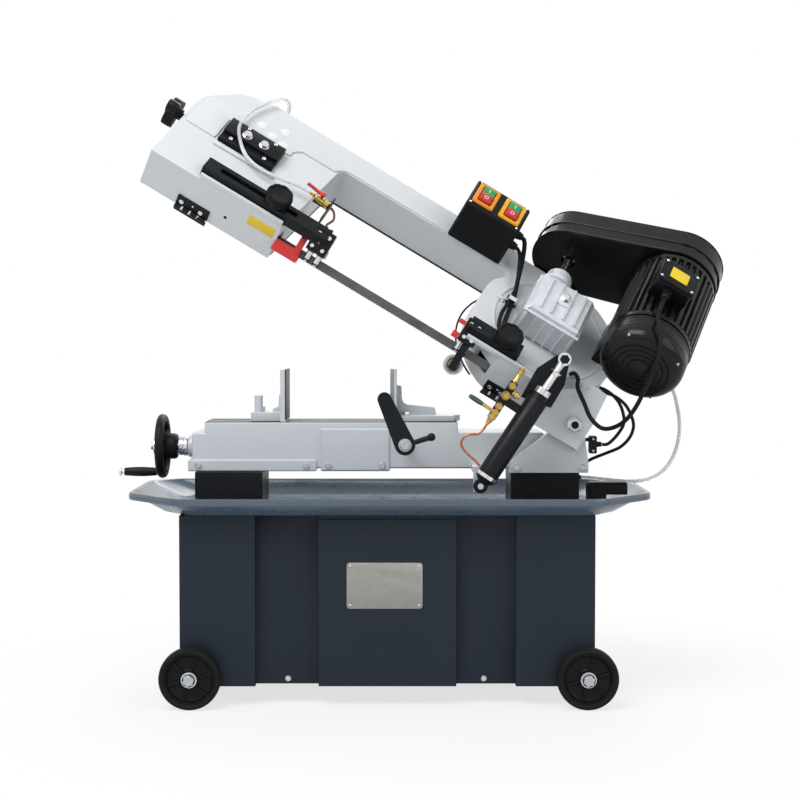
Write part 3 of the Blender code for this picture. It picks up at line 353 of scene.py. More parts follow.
def softened(node, look, width, segments=2):
    """A merged copy of a CAD node with its edges rounded, which stands for the node."""
    source = frame["nodes"][node]
    mesh = source.data.copy()
    made = bpy.data.objects.new(node + "_finished", mesh)
    bpy.context.scene.collection.objects.link(made)
    merge_points(mesh, 2e-6)
    bm = bmesh.new()
    bm.from_mesh(mesh)
    bmesh.ops.dissolve_limit(bm, angle_limit=math.radians(0.6), verts=bm.verts, edges=bm.edges)
    bm.to_mesh(mesh)
    bm.free()
    if width:
        bevel = made.modifiers.new("edges", "BEVEL")
        bevel.width = width * MM
        bevel.segments = segments
        bevel.limit_method = "ANGLE"
        bevel.angle_limit = math.radians(32)
        bevel.harden_normals = True
    return finished(made, look, source["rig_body"], 32.0, (node,))


# ------------------------------------------------------------------ materials

def linear(code):
    """An sRGB hex colour as linear RGBA: ((c + 0.055) / 1.055) ^ 2.4 above the toe."""
    channels = [int(code[i:i + 2], 16) / 255 for i in (1, 3, 5)]
    return (*(c / 12.92 if c <= 0.04045 else ((c + 0.055) / 1.055) ** 2.4 for c in channels), 1.0)


def add(tree, kind, settings=None, sockets=None, links=None):
    """Add a node with its settings, its socket values and the outputs that feed it."""
    made = tree.nodes.new("ShaderNode" + kind)
    for name, value in (settings or {}).items():
        setattr(made, name, value)
    for name, value in (sockets or {}).items():
        made.inputs[name].default_value = value
    for name, source in (links or {}).items():
        tree.links.new(source, made.inputs[name])
    return made


def grain(tree, size, stretch=(1, 1, 1), detail=3.0, roughness=0.55):
    """Noise whose blobs are size mm across, drawn out along the frame's axes by stretch."""
    place = add(tree, "TexCoord")
    scaled = add(tree, "Mapping", sockets={"Scale": [1 / (size * MM * s) for s in stretch]},
                 links={"Vector": place.outputs["Object"]})
    noise = add(tree, "TexNoise", sockets={"Scale": 1.0, "Detail": detail, "Roughness": roughness},
                links={"Vector": scaled.outputs["Vector"]})
    return noise.outputs["Fac"]


def surface(name, colour, roughness, metallic=0.0, shade=0.06, patch=60.0, texture=1.0, depth=0.02,
            spread=0.08, stretch=(1, 1, 1), constants=None):
    """A Principled material with a mottled colour, uneven gloss and a fine relief.

    patch is the size in mm of the colour's mottling, texture that of the relief, depth its height in
    mm, and spread how far roughness varies.
    """
    made = bpy.data.materials.new(name)
    made.use_nodes = True
    tree = made.node_tree
    shader = tree.nodes["Principled BSDF"]
    base = linear(colour) if isinstance(colour, str) else (*colour, 1.0)
    darker = tuple(c * (1 - shade) for c in base[:3]) + (1.0,)
    paler = tuple(min(1, c * (1 + shade)) for c in base[:3]) + (1.0,)
    blotch = add(tree, "MapRange", sockets={"From Min": 0.3, "From Max": 0.7},
                 links={"Value": grain(tree, patch)})
    mottled = add(tree, "Mix", {"data_type": "RGBA"}, {6: darker, 7: paler}, {0: blotch.outputs["Result"]})
    tree.links.new(mottled.outputs[2], shader.inputs["Base Color"])
    gloss = add(tree, "MapRange", sockets={"From Min": 0.35, "From Max": 0.65,
                                           "To Min": max(0.02, roughness - spread),
                                           "To Max": min(1, roughness + spread)},
                links={"Value": grain(tree, patch * 0.35, stretch)})
    tree.links.new(gloss.outputs["Result"], shader.inputs["Roughness"])
    shader.inputs["Metallic"].default_value = metallic
    bump = add(tree, "Bump", sockets={"Distance": depth * MM},
               links={"Height": grain(tree, texture, stretch)})
    tree.links.new(bump.outputs["Normal"], shader.inputs["Normal"])
    for socket, value in (constants or {}).items():
        shader.inputs[socket].default_value = value
    return made


LOOKS = {}


def make_looks(colours):
    """Every finish on the machine. Sizes are in mm; fine grain is drawn about twice its real size."""
    coat = {"Coat Weight": 0.35, "Coat Roughness": 0.12}
    dull = {"Specular IOR Level": 0.15}        # dark finishes stay dark against a white surround
    LOOKS.update({
        # stoved enamel on castings: glossy, faintly rippled like orange peel
        "enamel": surface("stoved_enamel", colours.enamel, 0.34, shade=0.008, patch=180, texture=3.0,
                          depth=0.02, spread=0.02, constants=coat),
        # the same enamel on the bed's rougher casting
        "cast_enamel": surface("enamel_on_casting", colours.bed_enamel, 0.4, shade=0.015, patch=120,
                               texture=2.2,
                               depth=0.04, spread=0.03, constants=coat),
        # textured powder coat on folded sheet: matt-satin with a fine pebble
        "slate": surface("slate_powder_coat", colours.cabinet, 0.42, shade=0.05, patch=240, texture=1.1,
                         depth=0.03, constants=dull),
        "tray": surface("slate_tray_enamel", colours.tray, 0.3, shade=0.05, patch=160, texture=2.5,
                        depth=0.03, constants=coat),
        # brushed-on semi-gloss black over machined steel
        "black": surface("black_machinery_paint", "#15171A", 0.34, shade=0.12, patch=60, texture=1.4,
                         depth=0.03, constants=dull),
        # crinkle-free gloss black of the guard and motor
        "gloss_black": surface("gloss_black_enamel", colours.motor, 0.2, shade=0.1, patch=90, texture=3.0,
                               depth=0.03, constants={"Specular IOR Level": 0.22}),
        "plastic": surface("moulded_black_nylon", "#101113", 0.46, shade=0.1, patch=30, texture=0.8,
                           depth=0.04, constants=dull),
        "rubber": surface("black_rubber", "#121314", 0.6, shade=0.14, patch=25, texture=0.9, depth=0.05,
                          constants=dull),
        # turned and ground bars: bright, with fine drawn lines
        "steel": surface("turned_steel", "#B9BCC0", 0.24, 1.0, shade=0.06, patch=20, texture=0.5,
                         depth=0.01, spread=0.07),
        "chrome": surface("chromed_steel", "#D9DADC", 0.1, 1.0, shade=0.03, patch=14, texture=0.7,
                          depth=0.004, spread=0.04),
        "ground": surface("ground_iron", "#8C9094", 0.36, 1.0, shade=0.08, patch=30, texture=0.45,
                          depth=0.02, stretch=(9, 1, 1)),
        # the same iron dark with oil
        "oiled": surface("oiled_iron", "#34322F", 0.42, 0.3, shade=0.2, patch=30, texture=0.45, depth=0.02,
                         stretch=(9, 1, 1), constants=dull),
        "blade": surface("rolled_band_steel", "#5C5C5C", 0.42, 0.85, shade=0.16, patch=25, texture=0.5,
                         depth=0.01, stretch=(14, 1, 1)),
        # sand-cast aluminium left bare and shot-blasted: pale grey and grainy
        "aluminium": surface("shot_blasted_aluminium", "#CDD2D6", 0.48, 0.35, shade=0.07, patch=22,
                             texture=1.2, depth=0.09, spread=0.1),
        "brass": surface("turned_brass", "#C9A45C", 0.24, 1.0, shade=0.14, patch=9, texture=0.6, depth=0.01),
        "copper": surface("drawn_copper", "#B4683C", 0.26, 1.0, shade=0.16, patch=8, texture=0.6, depth=0.01),
        "vinyl": surface("milky_vinyl_tube", "#E6E9EA", 0.2, shade=0.03, patch=30, texture=2.0, depth=0.01,
                         constants={"Transmission Weight": 0.45, "IOR": 1.45}),
        "red": surface("red_enamel", "#C11616", 0.3, shade=0.05, patch=25, texture=1.2, depth=0.02,
                       constants=coat),
        "red_plastic": surface("red_button_plastic", "#B8201C", 0.28, shade=0.04, patch=12, texture=0.9,
                               depth=0.01),
        "green_plastic": surface("green_button_plastic", "#1F8A45", 0.28, shade=0.04, patch=12,
                                 texture=0.9, depth=0.01),
        "yellow": surface("yellow_switch_plastic", "#E0A21C", 0.34, shade=0.04, patch=12, texture=0.9,
                          depth=0.01),
        "orange": surface("orange_switch_plastic", "#DF8A1A", 0.34, shade=0.04, patch=12, texture=0.9,
                          depth=0.01),
        "green_grip": surface("dark_green_grip", "#2F4A3D", 0.45, shade=0.08, patch=10, texture=0.9,
                              depth=0.03),
        "sticker": surface("plain_white_film", "#D9DBD8", 0.4, shade=0.02, patch=20, texture=1.5, depth=0.01),
        "yellow_film": surface("plain_yellow_film", "#DDBE1E", 0.42, shade=0.03, patch=20, texture=1.5,
                               depth=0.01),
        "plate": surface("brushed_name_plate", "#9C9A95", 0.32, 0.9, shade=0.05, patch=18, texture=0.35,
                         depth=0.006, stretch=(18, 1, 1)),
        "brown": surface("oiled_brown_cable", "#5A3A24", 0.4, shade=0.12, patch=8, texture=0.8, depth=0.01),
        "bristle": surface("steel_wire_bristle", "#6B6F74", 0.5, 0.6, shade=0.25, patch=2, texture=0.6,
                           depth=0.3, stretch=(1, 1, 1)),
        "dark": surface("shadowed_recess", "#0B0C0D", 0.7, shade=0.2, patch=10, texture=0.8, depth=0.05,
                        constants=dull),
    })


# ------------------------------------------------------------------ studio and camera

def build_camera(lens):
    """A 72 mm lens at standing distance, level with the bow, tilted down to the machine's middle."""
    data = bpy.data.cameras.new("camera")
    data.lens, data.sensor_width = lens, 36.0
    camera = bpy.data.objects.new("camera", data)
    bpy.context.scene.collection.objects.link(camera)
    tilt = math.atan(EYE_DROP / (lens / 36.0 * 800))
    camera.location = put(MACHINE, (EYE[0], EYE[1], EYE[2]))
    camera.rotation_euler = (math.pi / 2 - tilt, 0, 0)
    bpy.context.scene.camera = camera


EYE = (-4.3, -3472.0, 766.0)      # the eye from the machine's datum
EYE_DROP = 65.0                   # how far the horizon lies above the middle of an 800-row frame


def build_studio(brightness):
    """A white floor that fades into a white surround, two large soft lamps and a rim lamp."""
    scene = bpy.context.scene
    scene.view_settings.view_transform = "Standard"
    world = bpy.data.worlds.new("studio")
    world.use_nodes = True
    scene.world = world
    tree = world.node_tree
    tree.nodes.clear()
    soft = add(tree, "Background", sockets={"Color": (0.93, 0.96, 1.0, 1), "Strength": 0.5 * brightness})
    white = add(tree, "Background", sockets={"Color": (1, 1, 1, 1), "Strength": 1.0})
    path = add(tree, "LightPath")
    mirrored = add(tree, "Math", {"operation": "MAXIMUM"},
                   links={0: path.outputs["Is Camera Ray"], 1: path.outputs["Is Glossy Ray"]})
    shown = add(tree, "Math", {"operation": "MAXIMUM"},
                links={0: mirrored.outputs[0], 1: path.outputs["Is Transmission Ray"]})
    seen = add(tree, "MixShader", links={0: shown.outputs[0], 1: soft.outputs[0], 2: white.outputs[0]})
    add(tree, "OutputWorld", links={"Surface": seen.outputs[0]})

    t = np.linspace(0, 2 * math.pi, 96, endpoint=False)
    rings = [np.stack((r * np.cos(t), r * np.sin(t), np.full(96, -1e-4)), 1) for r in (0.01, 1.5, 4, 12)]
    points, faces = lofted(rings, caps=False)
    mesh = bpy.data.meshes.new("floor")
    mesh.from_pydata(points.tolist(), [], faces + [list(range(96))])
    floor = bpy.data.objects.new("floor", mesh)
    scene.collection.objects.link(floor)
    floor.data.materials.append(floor_look())

    for name, place, aim, size, power in (
            ("key", (-1.3, -2.0, 3.4), (0, 0, 0.7), 2.2, 104),
            ("fill", (2.8, -2.2, 1.9), (0, 0, 0.6), 2.6, 30),
            ("back", (0.4, 2.6, 2.8), (0, 0, 0.9), 2.2, 50)):
        data = bpy.data.lights.new(name, "AREA")
        data.size, data.energy = size, power * brightness
        lamp = bpy.data.objects.new(name, data)
        scene.collection.objects.link(lamp)
        lamp.location = place
        lamp.rotation_euler = (Vector(aim) - Vector(place)).to_track_quat("-Z", "Y").to_euler()


def floor_look():
    """White board: lit near the machine, where the shadow lies, and plain white far away."""
    made = bpy.data.materials.new("white_floor")
    made.use_nodes = True
    tree = made.node_tree
    board = tree.nodes["Principled BSDF"]
    board.inputs["Roughness"].default_value = 0.8
    board.inputs["Base Color"].default_value = (0.82, 0.82, 0.82, 1)
    place = add(tree, "TexCoord")
    length = add(tree, "VectorMath", {"operation": "LENGTH"}, links={0: place.outputs["Object"]})
    far = add(tree, "MapRange", {"interpolation_type": "SMOOTHSTEP"},
              {"From Min": 0.55, "From Max": 1.15, "To Min": 0.72, "To Max": 1.0},
              {"Value": length.outputs["Value"]})
    path = add(tree, "LightPath")
    share = add(tree, "Math", {"operation": "MULTIPLY"},
                links={0: far.outputs[0], 1: path.outputs["Is Camera Ray"]})
    white = add(tree, "Emission", sockets={"Color": (1, 1, 1, 1), "Strength": 1.0})
    mixed = add(tree, "MixShader", links={0: share.outputs[0], 1: board.outputs[0], 2: white.outputs[0]})
    tree.links.new(mixed.outputs[0], tree.nodes["Material Output"].inputs["Surface"])
    return made


# ------------------------------------------------------------------ hoses and cables

def cord_piece(name, route, radius, place, look, body, blended=None):
    """A hose or cable: a round tube along the smooth curve through its route."""
    path = put(place, smooth_path(route, 1.4 * radius))
    made = mesh_piece(name + "_run", [swept(path, radius * MM, 16)], LOOKS[look],
                      body if not blended else None,
                      60, (name,))
    if blended:
        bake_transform(made)
    return made


def build_cords():
    coolant = [(393, 20, 455), (412, 20, 454), (440, 20, 451), (470, 17, 448), (500, 11, 447),
               (527, 5, 450), (553, 1, 460), (576, 0, 480), (593, 4, 508), (603, 9, 542),
               (606, 18, 575), (603, 28, 608), (596, 36, 640), (580, 38, 668), (552, 34, 690),
               (515, 25, 704), (485, 16, 713), (465.5, 12.2, 714.5)]
    spray = [(-878, 182, 20), (-878, 196, 23), (-883, 203, 40), (-895, 190, 60), (-911, 160, 66),
             (-928, 118, 66), (-937, 70, 66), (-932, 25, 66), (-911, -10, 66), (-884, -38, 66),
             (-852, -50, 66), (-820, -52, 68), (-788, -48, 70), (-756, -40, 70), (-728, -38, 70)]
    motor = [(529.3, -239.1, 839.8), (521.1, -257.8, 826.1), (509, -285, 803), (510, -313, 762),
             (505, -320, 723), (494, -312, 689), (482, -296, 659), (471, -268, 626), (455, -236, 596),
             (435, -205, 578), (412, -178, 574), (391, -160, 594), (378, -152, 625), (365, -149, 656),
             (366, -142, 676), (360, -126, 686), (353.9, -112.4, 684.2)]
    switch = [(425, -77, 534), (436, -78, 534), (449, -80, 545), (462, -84, 562), (470, -88, 580),
              (467, -92, 603), (458, -93, 624), (444, -83, 641), (431, -70, 650), (420.3, -65.6, 654)]
    pump = [(397.2, -40, 494), (412, -42, 502), (440, -50, 514), (467, -58, 527), (486, -64, 548),
            (493, -70, 572), (487, -74, 596), (475, -68, 618), (455, -55, 635), (436, -39, 642),
            (421.5, -30.6, 645.6)]
    control = [(-300, 157, 100), (-284, 150, 100), (-268, 118, 82), (-254, 70, 64), (-243, 20, 58),
               (-238, -40, 58), (-230, -84, 57), (-206, -88, 56)]
    across = ("base", "arm")
    cord_piece("coolant_hose", coolant, 4.0, MACHINE, "vinyl", "base", across)
    cord_piece("switch_cable", switch, 3.5, MACHINE, "rubber", "base", across)
    cord_piece("pump_cable", pump, 3.5, MACHINE, "rubber", "base", across)
    cord_piece("spray_hose", spray, 4.0, BOW, "vinyl", "arm")
    cord_piece("motor_cable", motor, 4.5, MACHINE, "rubber", "arm")
    cord_piece("control_cable", control, 5.0, BOW, "rubber", "arm")


# ------------------------------------------------------------------ carried-over castings and sheet

FINISHES = (
    ("enamel", 1.4, "bow_frame wheel_cover"), ("cast_enamel", 1.6, "pivot_bracket bed fixed_jaw moving_jaw"),
    ("slate", 1.0, "stand_left_end stand_right_end stand_front_panel stand_rear_panel"),
    ("black", 1.2, "riser_left riser_right work_stop_lever tension_slide left_guide right_guide "
                   "feed_bracket feed_cylinder"),
    ("gloss_black", 1.0, "belt_guard_base"), ("gloss_black", 1.5, "belt_guard_lid motor"),
    ("tray", 0.5, "chip_tray"),
    ("plastic", 1.0, "vise_handwheel handwheel_grip tension_knob left_guide_knob right_guide_knob "
                     "control_box coolant_outlet limit_switch chip_brush"),
    ("rubber", 0.0, "transport_wheel_front_left transport_wheel_front_right transport_wheel_rear_left "
                    "transport_wheel_rear_right drive_belt"),
    ("steel", 0.5, "axle_left axle_right vise_screw work_stop_rod pivot_shaft worm_shaft"),
    ("chrome", 0.4, "feed_rod"), ("blade", 0.0, "saw_blade"), ("ground", 0.6, "idler_wheel drive_wheel"),
    ("aluminium", 1.8, "gearbox_housing"), ("aluminium", 0.4, "motor_pulley"),
    ("brass", 0.4, "worm_wheel feed_valve_lever"),
    ("green_plastic", 0.5, "start_button_1 start_button_2"),
    ("red_plastic", 0.5, "stop_button_1 stop_button_2"),
)


def build_softened(left_out):
    """Round the edges of every CAD node that keeps its shape."""
    for look, width, nodes in FINISHES:
        for node in nodes.split():
            if node not in left_out:
                softened(node, LOOKS[look], width)


# ------------------------------------------------------------------ stand and tray

def local_frame(place, at, direction, phase=0.0):
    """A frame whose third axis is the direction and whose first is turned by phase about it."""
    u, v, w = basis(direction)
    x = math.cos(phase) * u + math.sin(phase) * v
    rotate = place[:3, :3]
    return frame_of(put(place, at), rotate @ x, rotate @ np.cross(w, x), rotate @ w)


def build_transport_wheels():
    """Solid rubber tyres on ribbed nylon hubs, each held by a chromed nut."""
    for end, sign in (("front", -1), ("rear", 1)):
        for side, x in (("left", -434.5), ("right", 380.0)):
            name, body = f"transport_wheel_{end}_{side}", f"{end}_{side}_wheel"
            at, out = (x, sign * 222.5, 63.5), (0, sign, 0)
            tyre = turned([(51, 13), (53, 15.5), (57, 16.8), (61, 15.6), (63, 12.5), (63.45, 8), (62.6, 7.2),
                           (62.6, 5.8), (63.5, 5), (63.5, -5), (62.6, -5.8), (62.6, -7.2), (63.45, -8),
                           (63, -12.5), (61, -15.6), (57, -16.8), (53, -15.5), (51, -13)],
                          at, out, MACHINE, 64)
            disc = turned([(8.6, 17.4), (15.5, 17.4), (17.5, 16.4), (18.4, 14), (18.8, 7.4),
                           (21, 6), (42, 5.4),
                           (45.5, 7), (48, 12.5), (49.4, 14.6), (51.5, 14.8), (52.3, 13), (52.3, -13),
                           (51.5, -14.8), (49.4, -14.6), (45.5, -7), (21, -6), (18.8, -14), (15.5, -17.4),
                           (8.6, -17.4)], at, out, MACHINE, 56)
            ribs = [block((17, -2.4, 4), (47.5, 2.4, 11.5), local_frame(MACHINE, at, out, turn), 1.2)
                    for turn in np.radians(np.arange(6) * 60 + 15)]
            mesh_piece(name + "_tyre", [tyre], LOOKS["rubber"], body, 30, (name,))
            mesh_piece(name + "_hub", [disc, *ribs], LOOKS["plastic"], body, 30)
            tip = (x, sign * (222.5 + 17.5 + 1.5), 63.5)
            nut = turned([(8.2, 0), (13.2, 0), (13.2, 8), (12, 9.6), (8.2, 9.6)], tip, out, MACHINE, 6, 0.3)
            ring = turned([(8.1, -1.4), (16, -1.4), (16.4, -0.7), (16, 0), (8.1, 0)], tip, out, MACHINE, 40)
            mesh_piece(name + "_nut", [nut, ring], LOOKS["chrome"], "base", 25)


def build_stand_details():
    """The bare name plate with its rivets, flange bolts and the seam line across the cabinet's front."""
    x, z, half = -36.0, 250.0, (78.0, 47.5)
    face = -195.0
    plate = slab(rectangle((x - half[0], z - half[1]), (x + half[0], z + half[1]), 7, 6),
                 [(0.3, face - 0.2), (0, face - 0.5), (0, face - 0.9), (0.3, face - 1.1)], MACHINE, "XZ")
    mesh_piece("name_plate", [plate], LOOKS["plate"], "base")
    rivets = [turned([(0, 0), (2.6, 0), (2.4, 0.9), (1.4, 1.6), (0, 1.8)], (x + i * (half[0] - 7), face - 1.0,
                     z + j * (half[1] - 7)), (0, -1, 0), MACHINE, 16) for i in (-1, 1) for j in (-1, 1)]
    mesh_piece("plate_rivets", rivets, LOOKS["steel"], "base")
    heads = []
    for bolt_x in (-237.0, 170.0):
        for sign in (-1, 1):
            heads += hex_head((bolt_x, sign * 168.2, 52), (0, sign, 0), 9, 4, MACHINE, 0.2)
    mesh_piece("cabinet_bolts", heads, LOOKS["chrome"], "base")
    slots = [block((-170, -195.6, 386.5), (109, -195.05, 388.5), MACHINE, 0.2)]
    mesh_piece("cabinet_seam", slots, LOOKS["dark"], "base")


TRAY_RIM = ((-465, -238), (412, -238), (528, -100), (528, 150), (440, 238), (-530, 238), (-581, 190),
            (-581, -100))
TRAY_BASE = ((-440, -205), (395, -205), (448, -120), (448, 120), (400, 205), (-455, 205), (-501, 165),
             (-501, -120))


def build_tray():
    """A pressed pan: the profile of floor, wall, rolled lip and skirt, carried round a rounded outline.

    Every ring is the blend of the base outline and the rim outline; the sheet is closed by walking the
    same profile back 2 mm lower.
    """
    rim = rounded(TRAY_RIM, 26, 6)
    base = rounded(TRAY_BASE, 22, 6)
    high, low = 433.0, 397.5

    def ring(share, out, height):
        loop = base + (rim - base) * share
        return np.column_stack((inset(loop, -out), np.full(len(loop), height)))

    wall = 0.80
    upper = [(0, -14, low), (0, -3, low + 0.1), (0.04, 0, low + 1.2), (wall, 0, high - 6),
             (wall + 0.04, 0, high - 2.0),
             (wall + 0.07, 0, high - 0.3), (0.93, 0, high), (0.97, 0, high - 0.1), (1, -0.9, high - 1.4),
             (1, 0, high - 4), (1, 0, high - 13), (1, -0.6, high - 14.6)]
    lower = [(share - 0.012 if share > 0.9 else share, out - 1.0, height - 1.9)
             for share, out, height in upper]
    lower[-1] = (1, -2.2, high - 14.6)
    lower[-2] = (1, -2.0, high - 13)
    lower[-3] = (1, -2.0, high - 4.5)
    lower[-4] = (0.985, -2.2, high - 2.6)
    rings = np.array([ring(*row) for row in upper] + [ring(*row) for row in reversed(lower)])
    pan = lofted(put(MACHINE, rings.reshape(-1, 3)).reshape(rings.shape))
    mesh_piece("tray_pan", [pan], LOOKS["tray"], "base", 50, ("chip_tray",))


# ------------------------------------------------------------------ bed and vise

def build_bed_details():
    """The ground table strips, flange bolts, jaw plates and the vise's nut and scale bolts."""
    top = 579.3
    strips = [((-423, -49), (119, -1)), ((-423, 29), (119, 99)), ((-77, -1.5), (119, 29.5)),
              ((-423, -1.5), (-417, 29.5))]
    ground = [slab(rectangle(low, high, 0.6, 2), [(0, top - 0.1), (0, top + 0.1), (0.1, top + 0.2)], MACHINE)
              for low, high in strips]
    mesh_piece("table_face", ground, LOOKS["oiled"], "base")
    heads = []
    for x, y, z in ((-436, -55, 487), (-205, -55, 487), (-158, -54, 487), (-42, -54, 487)):
        heads += hex_head((x, y - 0.2, z), (0, -1, 0), 12, 5, MACHINE, 0.3)
    for x in (243, 380):
        heads += hex_head((x, -92.2, 487), (0, -1, 0), 12, 5, MACHINE, 0.3)
    mesh_piece("bed_bolts", heads, LOOKS["chrome"], "base")
    shoe = block((-25.28, -48.3, 584), (-17, 76.3, 693.3), MACHINE, 0.3)
    mesh_piece("fixed_jaw_plate", [shoe], LOOKS["ground"], "base")
    shoe = block((-251, -48.3, 584), (-248.72, 76.3, 692.3), MACHINE, 0.3)
    mesh_piece("moving_jaw_plate", [shoe], LOOKS["oiled"], "vise_jaw")
    bolts = []
    for x, y in ((8, 14 - 28), (8, 14 + 28)):
        bolts += hex_head((x, y, top + 13.4), (0, 0, 1), 16, 8, MACHINE, 0.4)
    mesh_piece("fixed_jaw_bolts", bolts, LOOKS["steel"], "base")
    x, y = -249 - 61, 14 + 22
    mesh_piece("jaw_clamp_bolt", hex_head((x, y, top + 20.4), (0, 0, 1), 18, 10, MACHINE, 0.2),
               LOOKS["steel"],
               "vise_jaw")
    collar = turned([(12.8, 0), (20, 0), (21, 1.5), (21, 9), (20, 10.5), (12.8, 10.5)],
                    (-476, 14, 524), (1, 0, 0),
                    MACHINE, 40)
    mesh_piece("screw_collar", [collar], LOOKS["chrome"], "base")


def build_handwheel():
    """A nylon handwheel: a full rim, three swelling spokes and a steel-bushed hub, with its crank grip."""
    x, y, z = -522.0, 14.0, 524.0
    t = np.linspace(0, 2 * math.pi, 20, endpoint=False)
    section = [(61.5 + 8.4 * math.cos(a), 9.5 * math.sin(a)) for a in t]
    rim = turned(section, (x, y, z), (-1, 0, 0), MACHINE, 72)
    hub = turned([(9, -33), (24, -33), (27, -30), (28, -26), (28, 8), (25, 13), (20, 15), (9, 15)], (x, y, z),
                 (-1, 0, 0), MACHINE, 48)
    spokes = []
    for turn in np.radians((33, 153, 273)):
        run = np.linspace(20, 58, 12)
        path = np.stack((np.full(12, x + 1.0), y + run * math.cos(turn), z + run * math.sin(turn)), 1)
        width = 7.2 + 2.4 * ((run - 39) / 19) ** 2
        spokes.append(swept(put(MACHINE, path), width * MM, 20))
    crank_y, crank_z = y, z - 56.0
    boss = turned([(0, -8), (10.5, -8), (12, -6.5), (12, 6.5), (10.5, 8), (0, 8)],
                  (x, crank_y, crank_z), (-1, 0, 0),
                  MACHINE, 32)
    mesh_piece("handwheel_body", [rim, hub, boss, *spokes], LOOKS["plastic"], "handwheel",
               50,
               ("vise_handwheel",))
    pin = rod((x - 8, crank_y, crank_z), (x - 92, crank_y, crank_z), 5.0, MACHINE)
    head = turned([(0, 0), (8.6, 0), (9, 1.2), (9, 3.6), (8, 4.6), (0, 4.6)],
                  (x - 90.2, crank_y, crank_z), (-1, 0, 0),
                  MACHINE, 32)
    bush = turned([(8.5, 0), (17, 0), (18, 1), (18, 3), (17, 4), (8.5, 4)], (x - 15, y, z),
                  (-1, 0, 0), MACHINE, 40)
    mesh_piece("handwheel_pin", [pin, head, bush], LOOKS["chrome"], "handwheel")
    run = np.linspace(0, 1, 17)
    bulge = 8.2 + 2.1 * np.sin(math.pi * run) ** 0.8
    profile = [(5.4, 1)] + [(r, 1 + 70 * s) for r, s in zip(bulge, run)] + [(5.4, 71)]
    grip = turned(profile, (x - 12.4, crank_y, crank_z), (-1, 0, 0), MACHINE, 36)
    mesh_piece("crank_grip", [grip], LOOKS["plastic"], "crank_grip", 50, ("handwheel_grip",))


def build_work_stop():
    """The ball on the stop lever's handle and a nut on the rod."""
    x, z = 6.0, 541.0
    nut = hex_head((x, -213.4, z), (0, -1, 0), 20, 7, MACHINE, 0.2)
    mesh_piece("stop_lever_nut", nut, LOOKS["steel"], "stop_rod")
    ball = turned([(0, -8)] + [(8.5 * math.cos(a), 8.5 * math.sin(a)) for a in np.linspace(-1.2, 1.2, 11)]
                  + [(0, 8)], (x + 54, -208, z + 16.6), (0.95, 0, 0.31), MACHINE, 28)
    mesh_piece("stop_lever_ball", [ball], LOOKS["plastic"], "stop_lever", 60)


def build_pivot_details():
    """The pivot's chromed nut, limit switch screws, and the outlet box's lid in the tray."""
    x, z = PIVOT_X, PIVOT_HEIGHT
    nut = turned([(0, 0), (16.2, 0), (16.2, 8.5), (14.6, 10.2), (0, 10.2)], (x, -116.4, z),
                 (0, -1, 0), MACHINE, 6, 0.35)
    mesh_piece("pivot_nut", [nut], LOOKS["chrome"], "base", 25)
    cap = turned([(0, 0), (8, 0), (7.4, 1.2), (0, 1.6)], (x, -126.7, z), (0, -1, 0), MACHINE, 28)
    mesh_piece("pivot_centre", [cap], LOOKS["dark"], "base")
    heads = []
    for dx, dz in ((-120, 0), (20, 0)):
        heads += hex_head((x + dx, -92.4, 486), (0, -1, 0), 13, 6, MACHINE, 0.5)
    mesh_piece("pivot_bracket_bolts", heads, LOOKS["chrome"], "base")
    screws = [s for zz in (521, 546) for s in socket_head((405, -90.2, zz), (0, -1, 0), 2.6, 2.4, MACHINE)]
    mesh_piece("limit_switch_screws", screws, LOOKS["steel"], "base")
    lid = [block((404, -38, 445.8), (484, 3, 449), MACHINE, 1.2)]
    mesh_piece("outlet_lid", lid, LOOKS["plastic"], "base")


# ------------------------------------------------------------------ bow

def build_bow_relief():
    """The casting's raised pad, the lip under the tension bracket and the ledges under both guides.

    Each is an outline on the bow's face carried up by quarter-round rims.
    """
    pad = rounded(((-1035, -21), (-962, -22), (-962, 50), (-811, 50), (-811, 66), (-796, 82), (-712, 82),
                   (-704, 95), (-688, 103), (-292, 103), (-292, 167), (-897, 167), (-944, 156), (-953, 88),
                   (-1019, 84), (-1032, 68)), 5, 4)
    shapes = [slab(pad, soft_edge(47.4, 51.8, 1.8), BOW),
              block((-958, -41, 47.4), (-811, -30, 54), BOW, 2.0, 3),
              block((-934, -151.4, 47.4), (-737, -145, 62), BOW, 1.6, 2),
              block((-292, -151.4, 47.4), (-150, -145, 60), BOW, 1.6, 2)]
    casing = turned([(126, 0), (132, 0), (132, 2.4), (130, 3), (128, 3), (126, 2.4)],
                    (DRIVE_X, 0, 47.4), OUT_OF_FACE,
                    BOW, 72)
    mesh_piece("bow_relief", [*shapes, casing], LOOKS["enamel"], "arm", 40)


OUT_OF_FACE, UP_THE_FACE, DOWN_THE_FACE = (0, 0, 1), (0, 1, 0), (0, -1, 0)


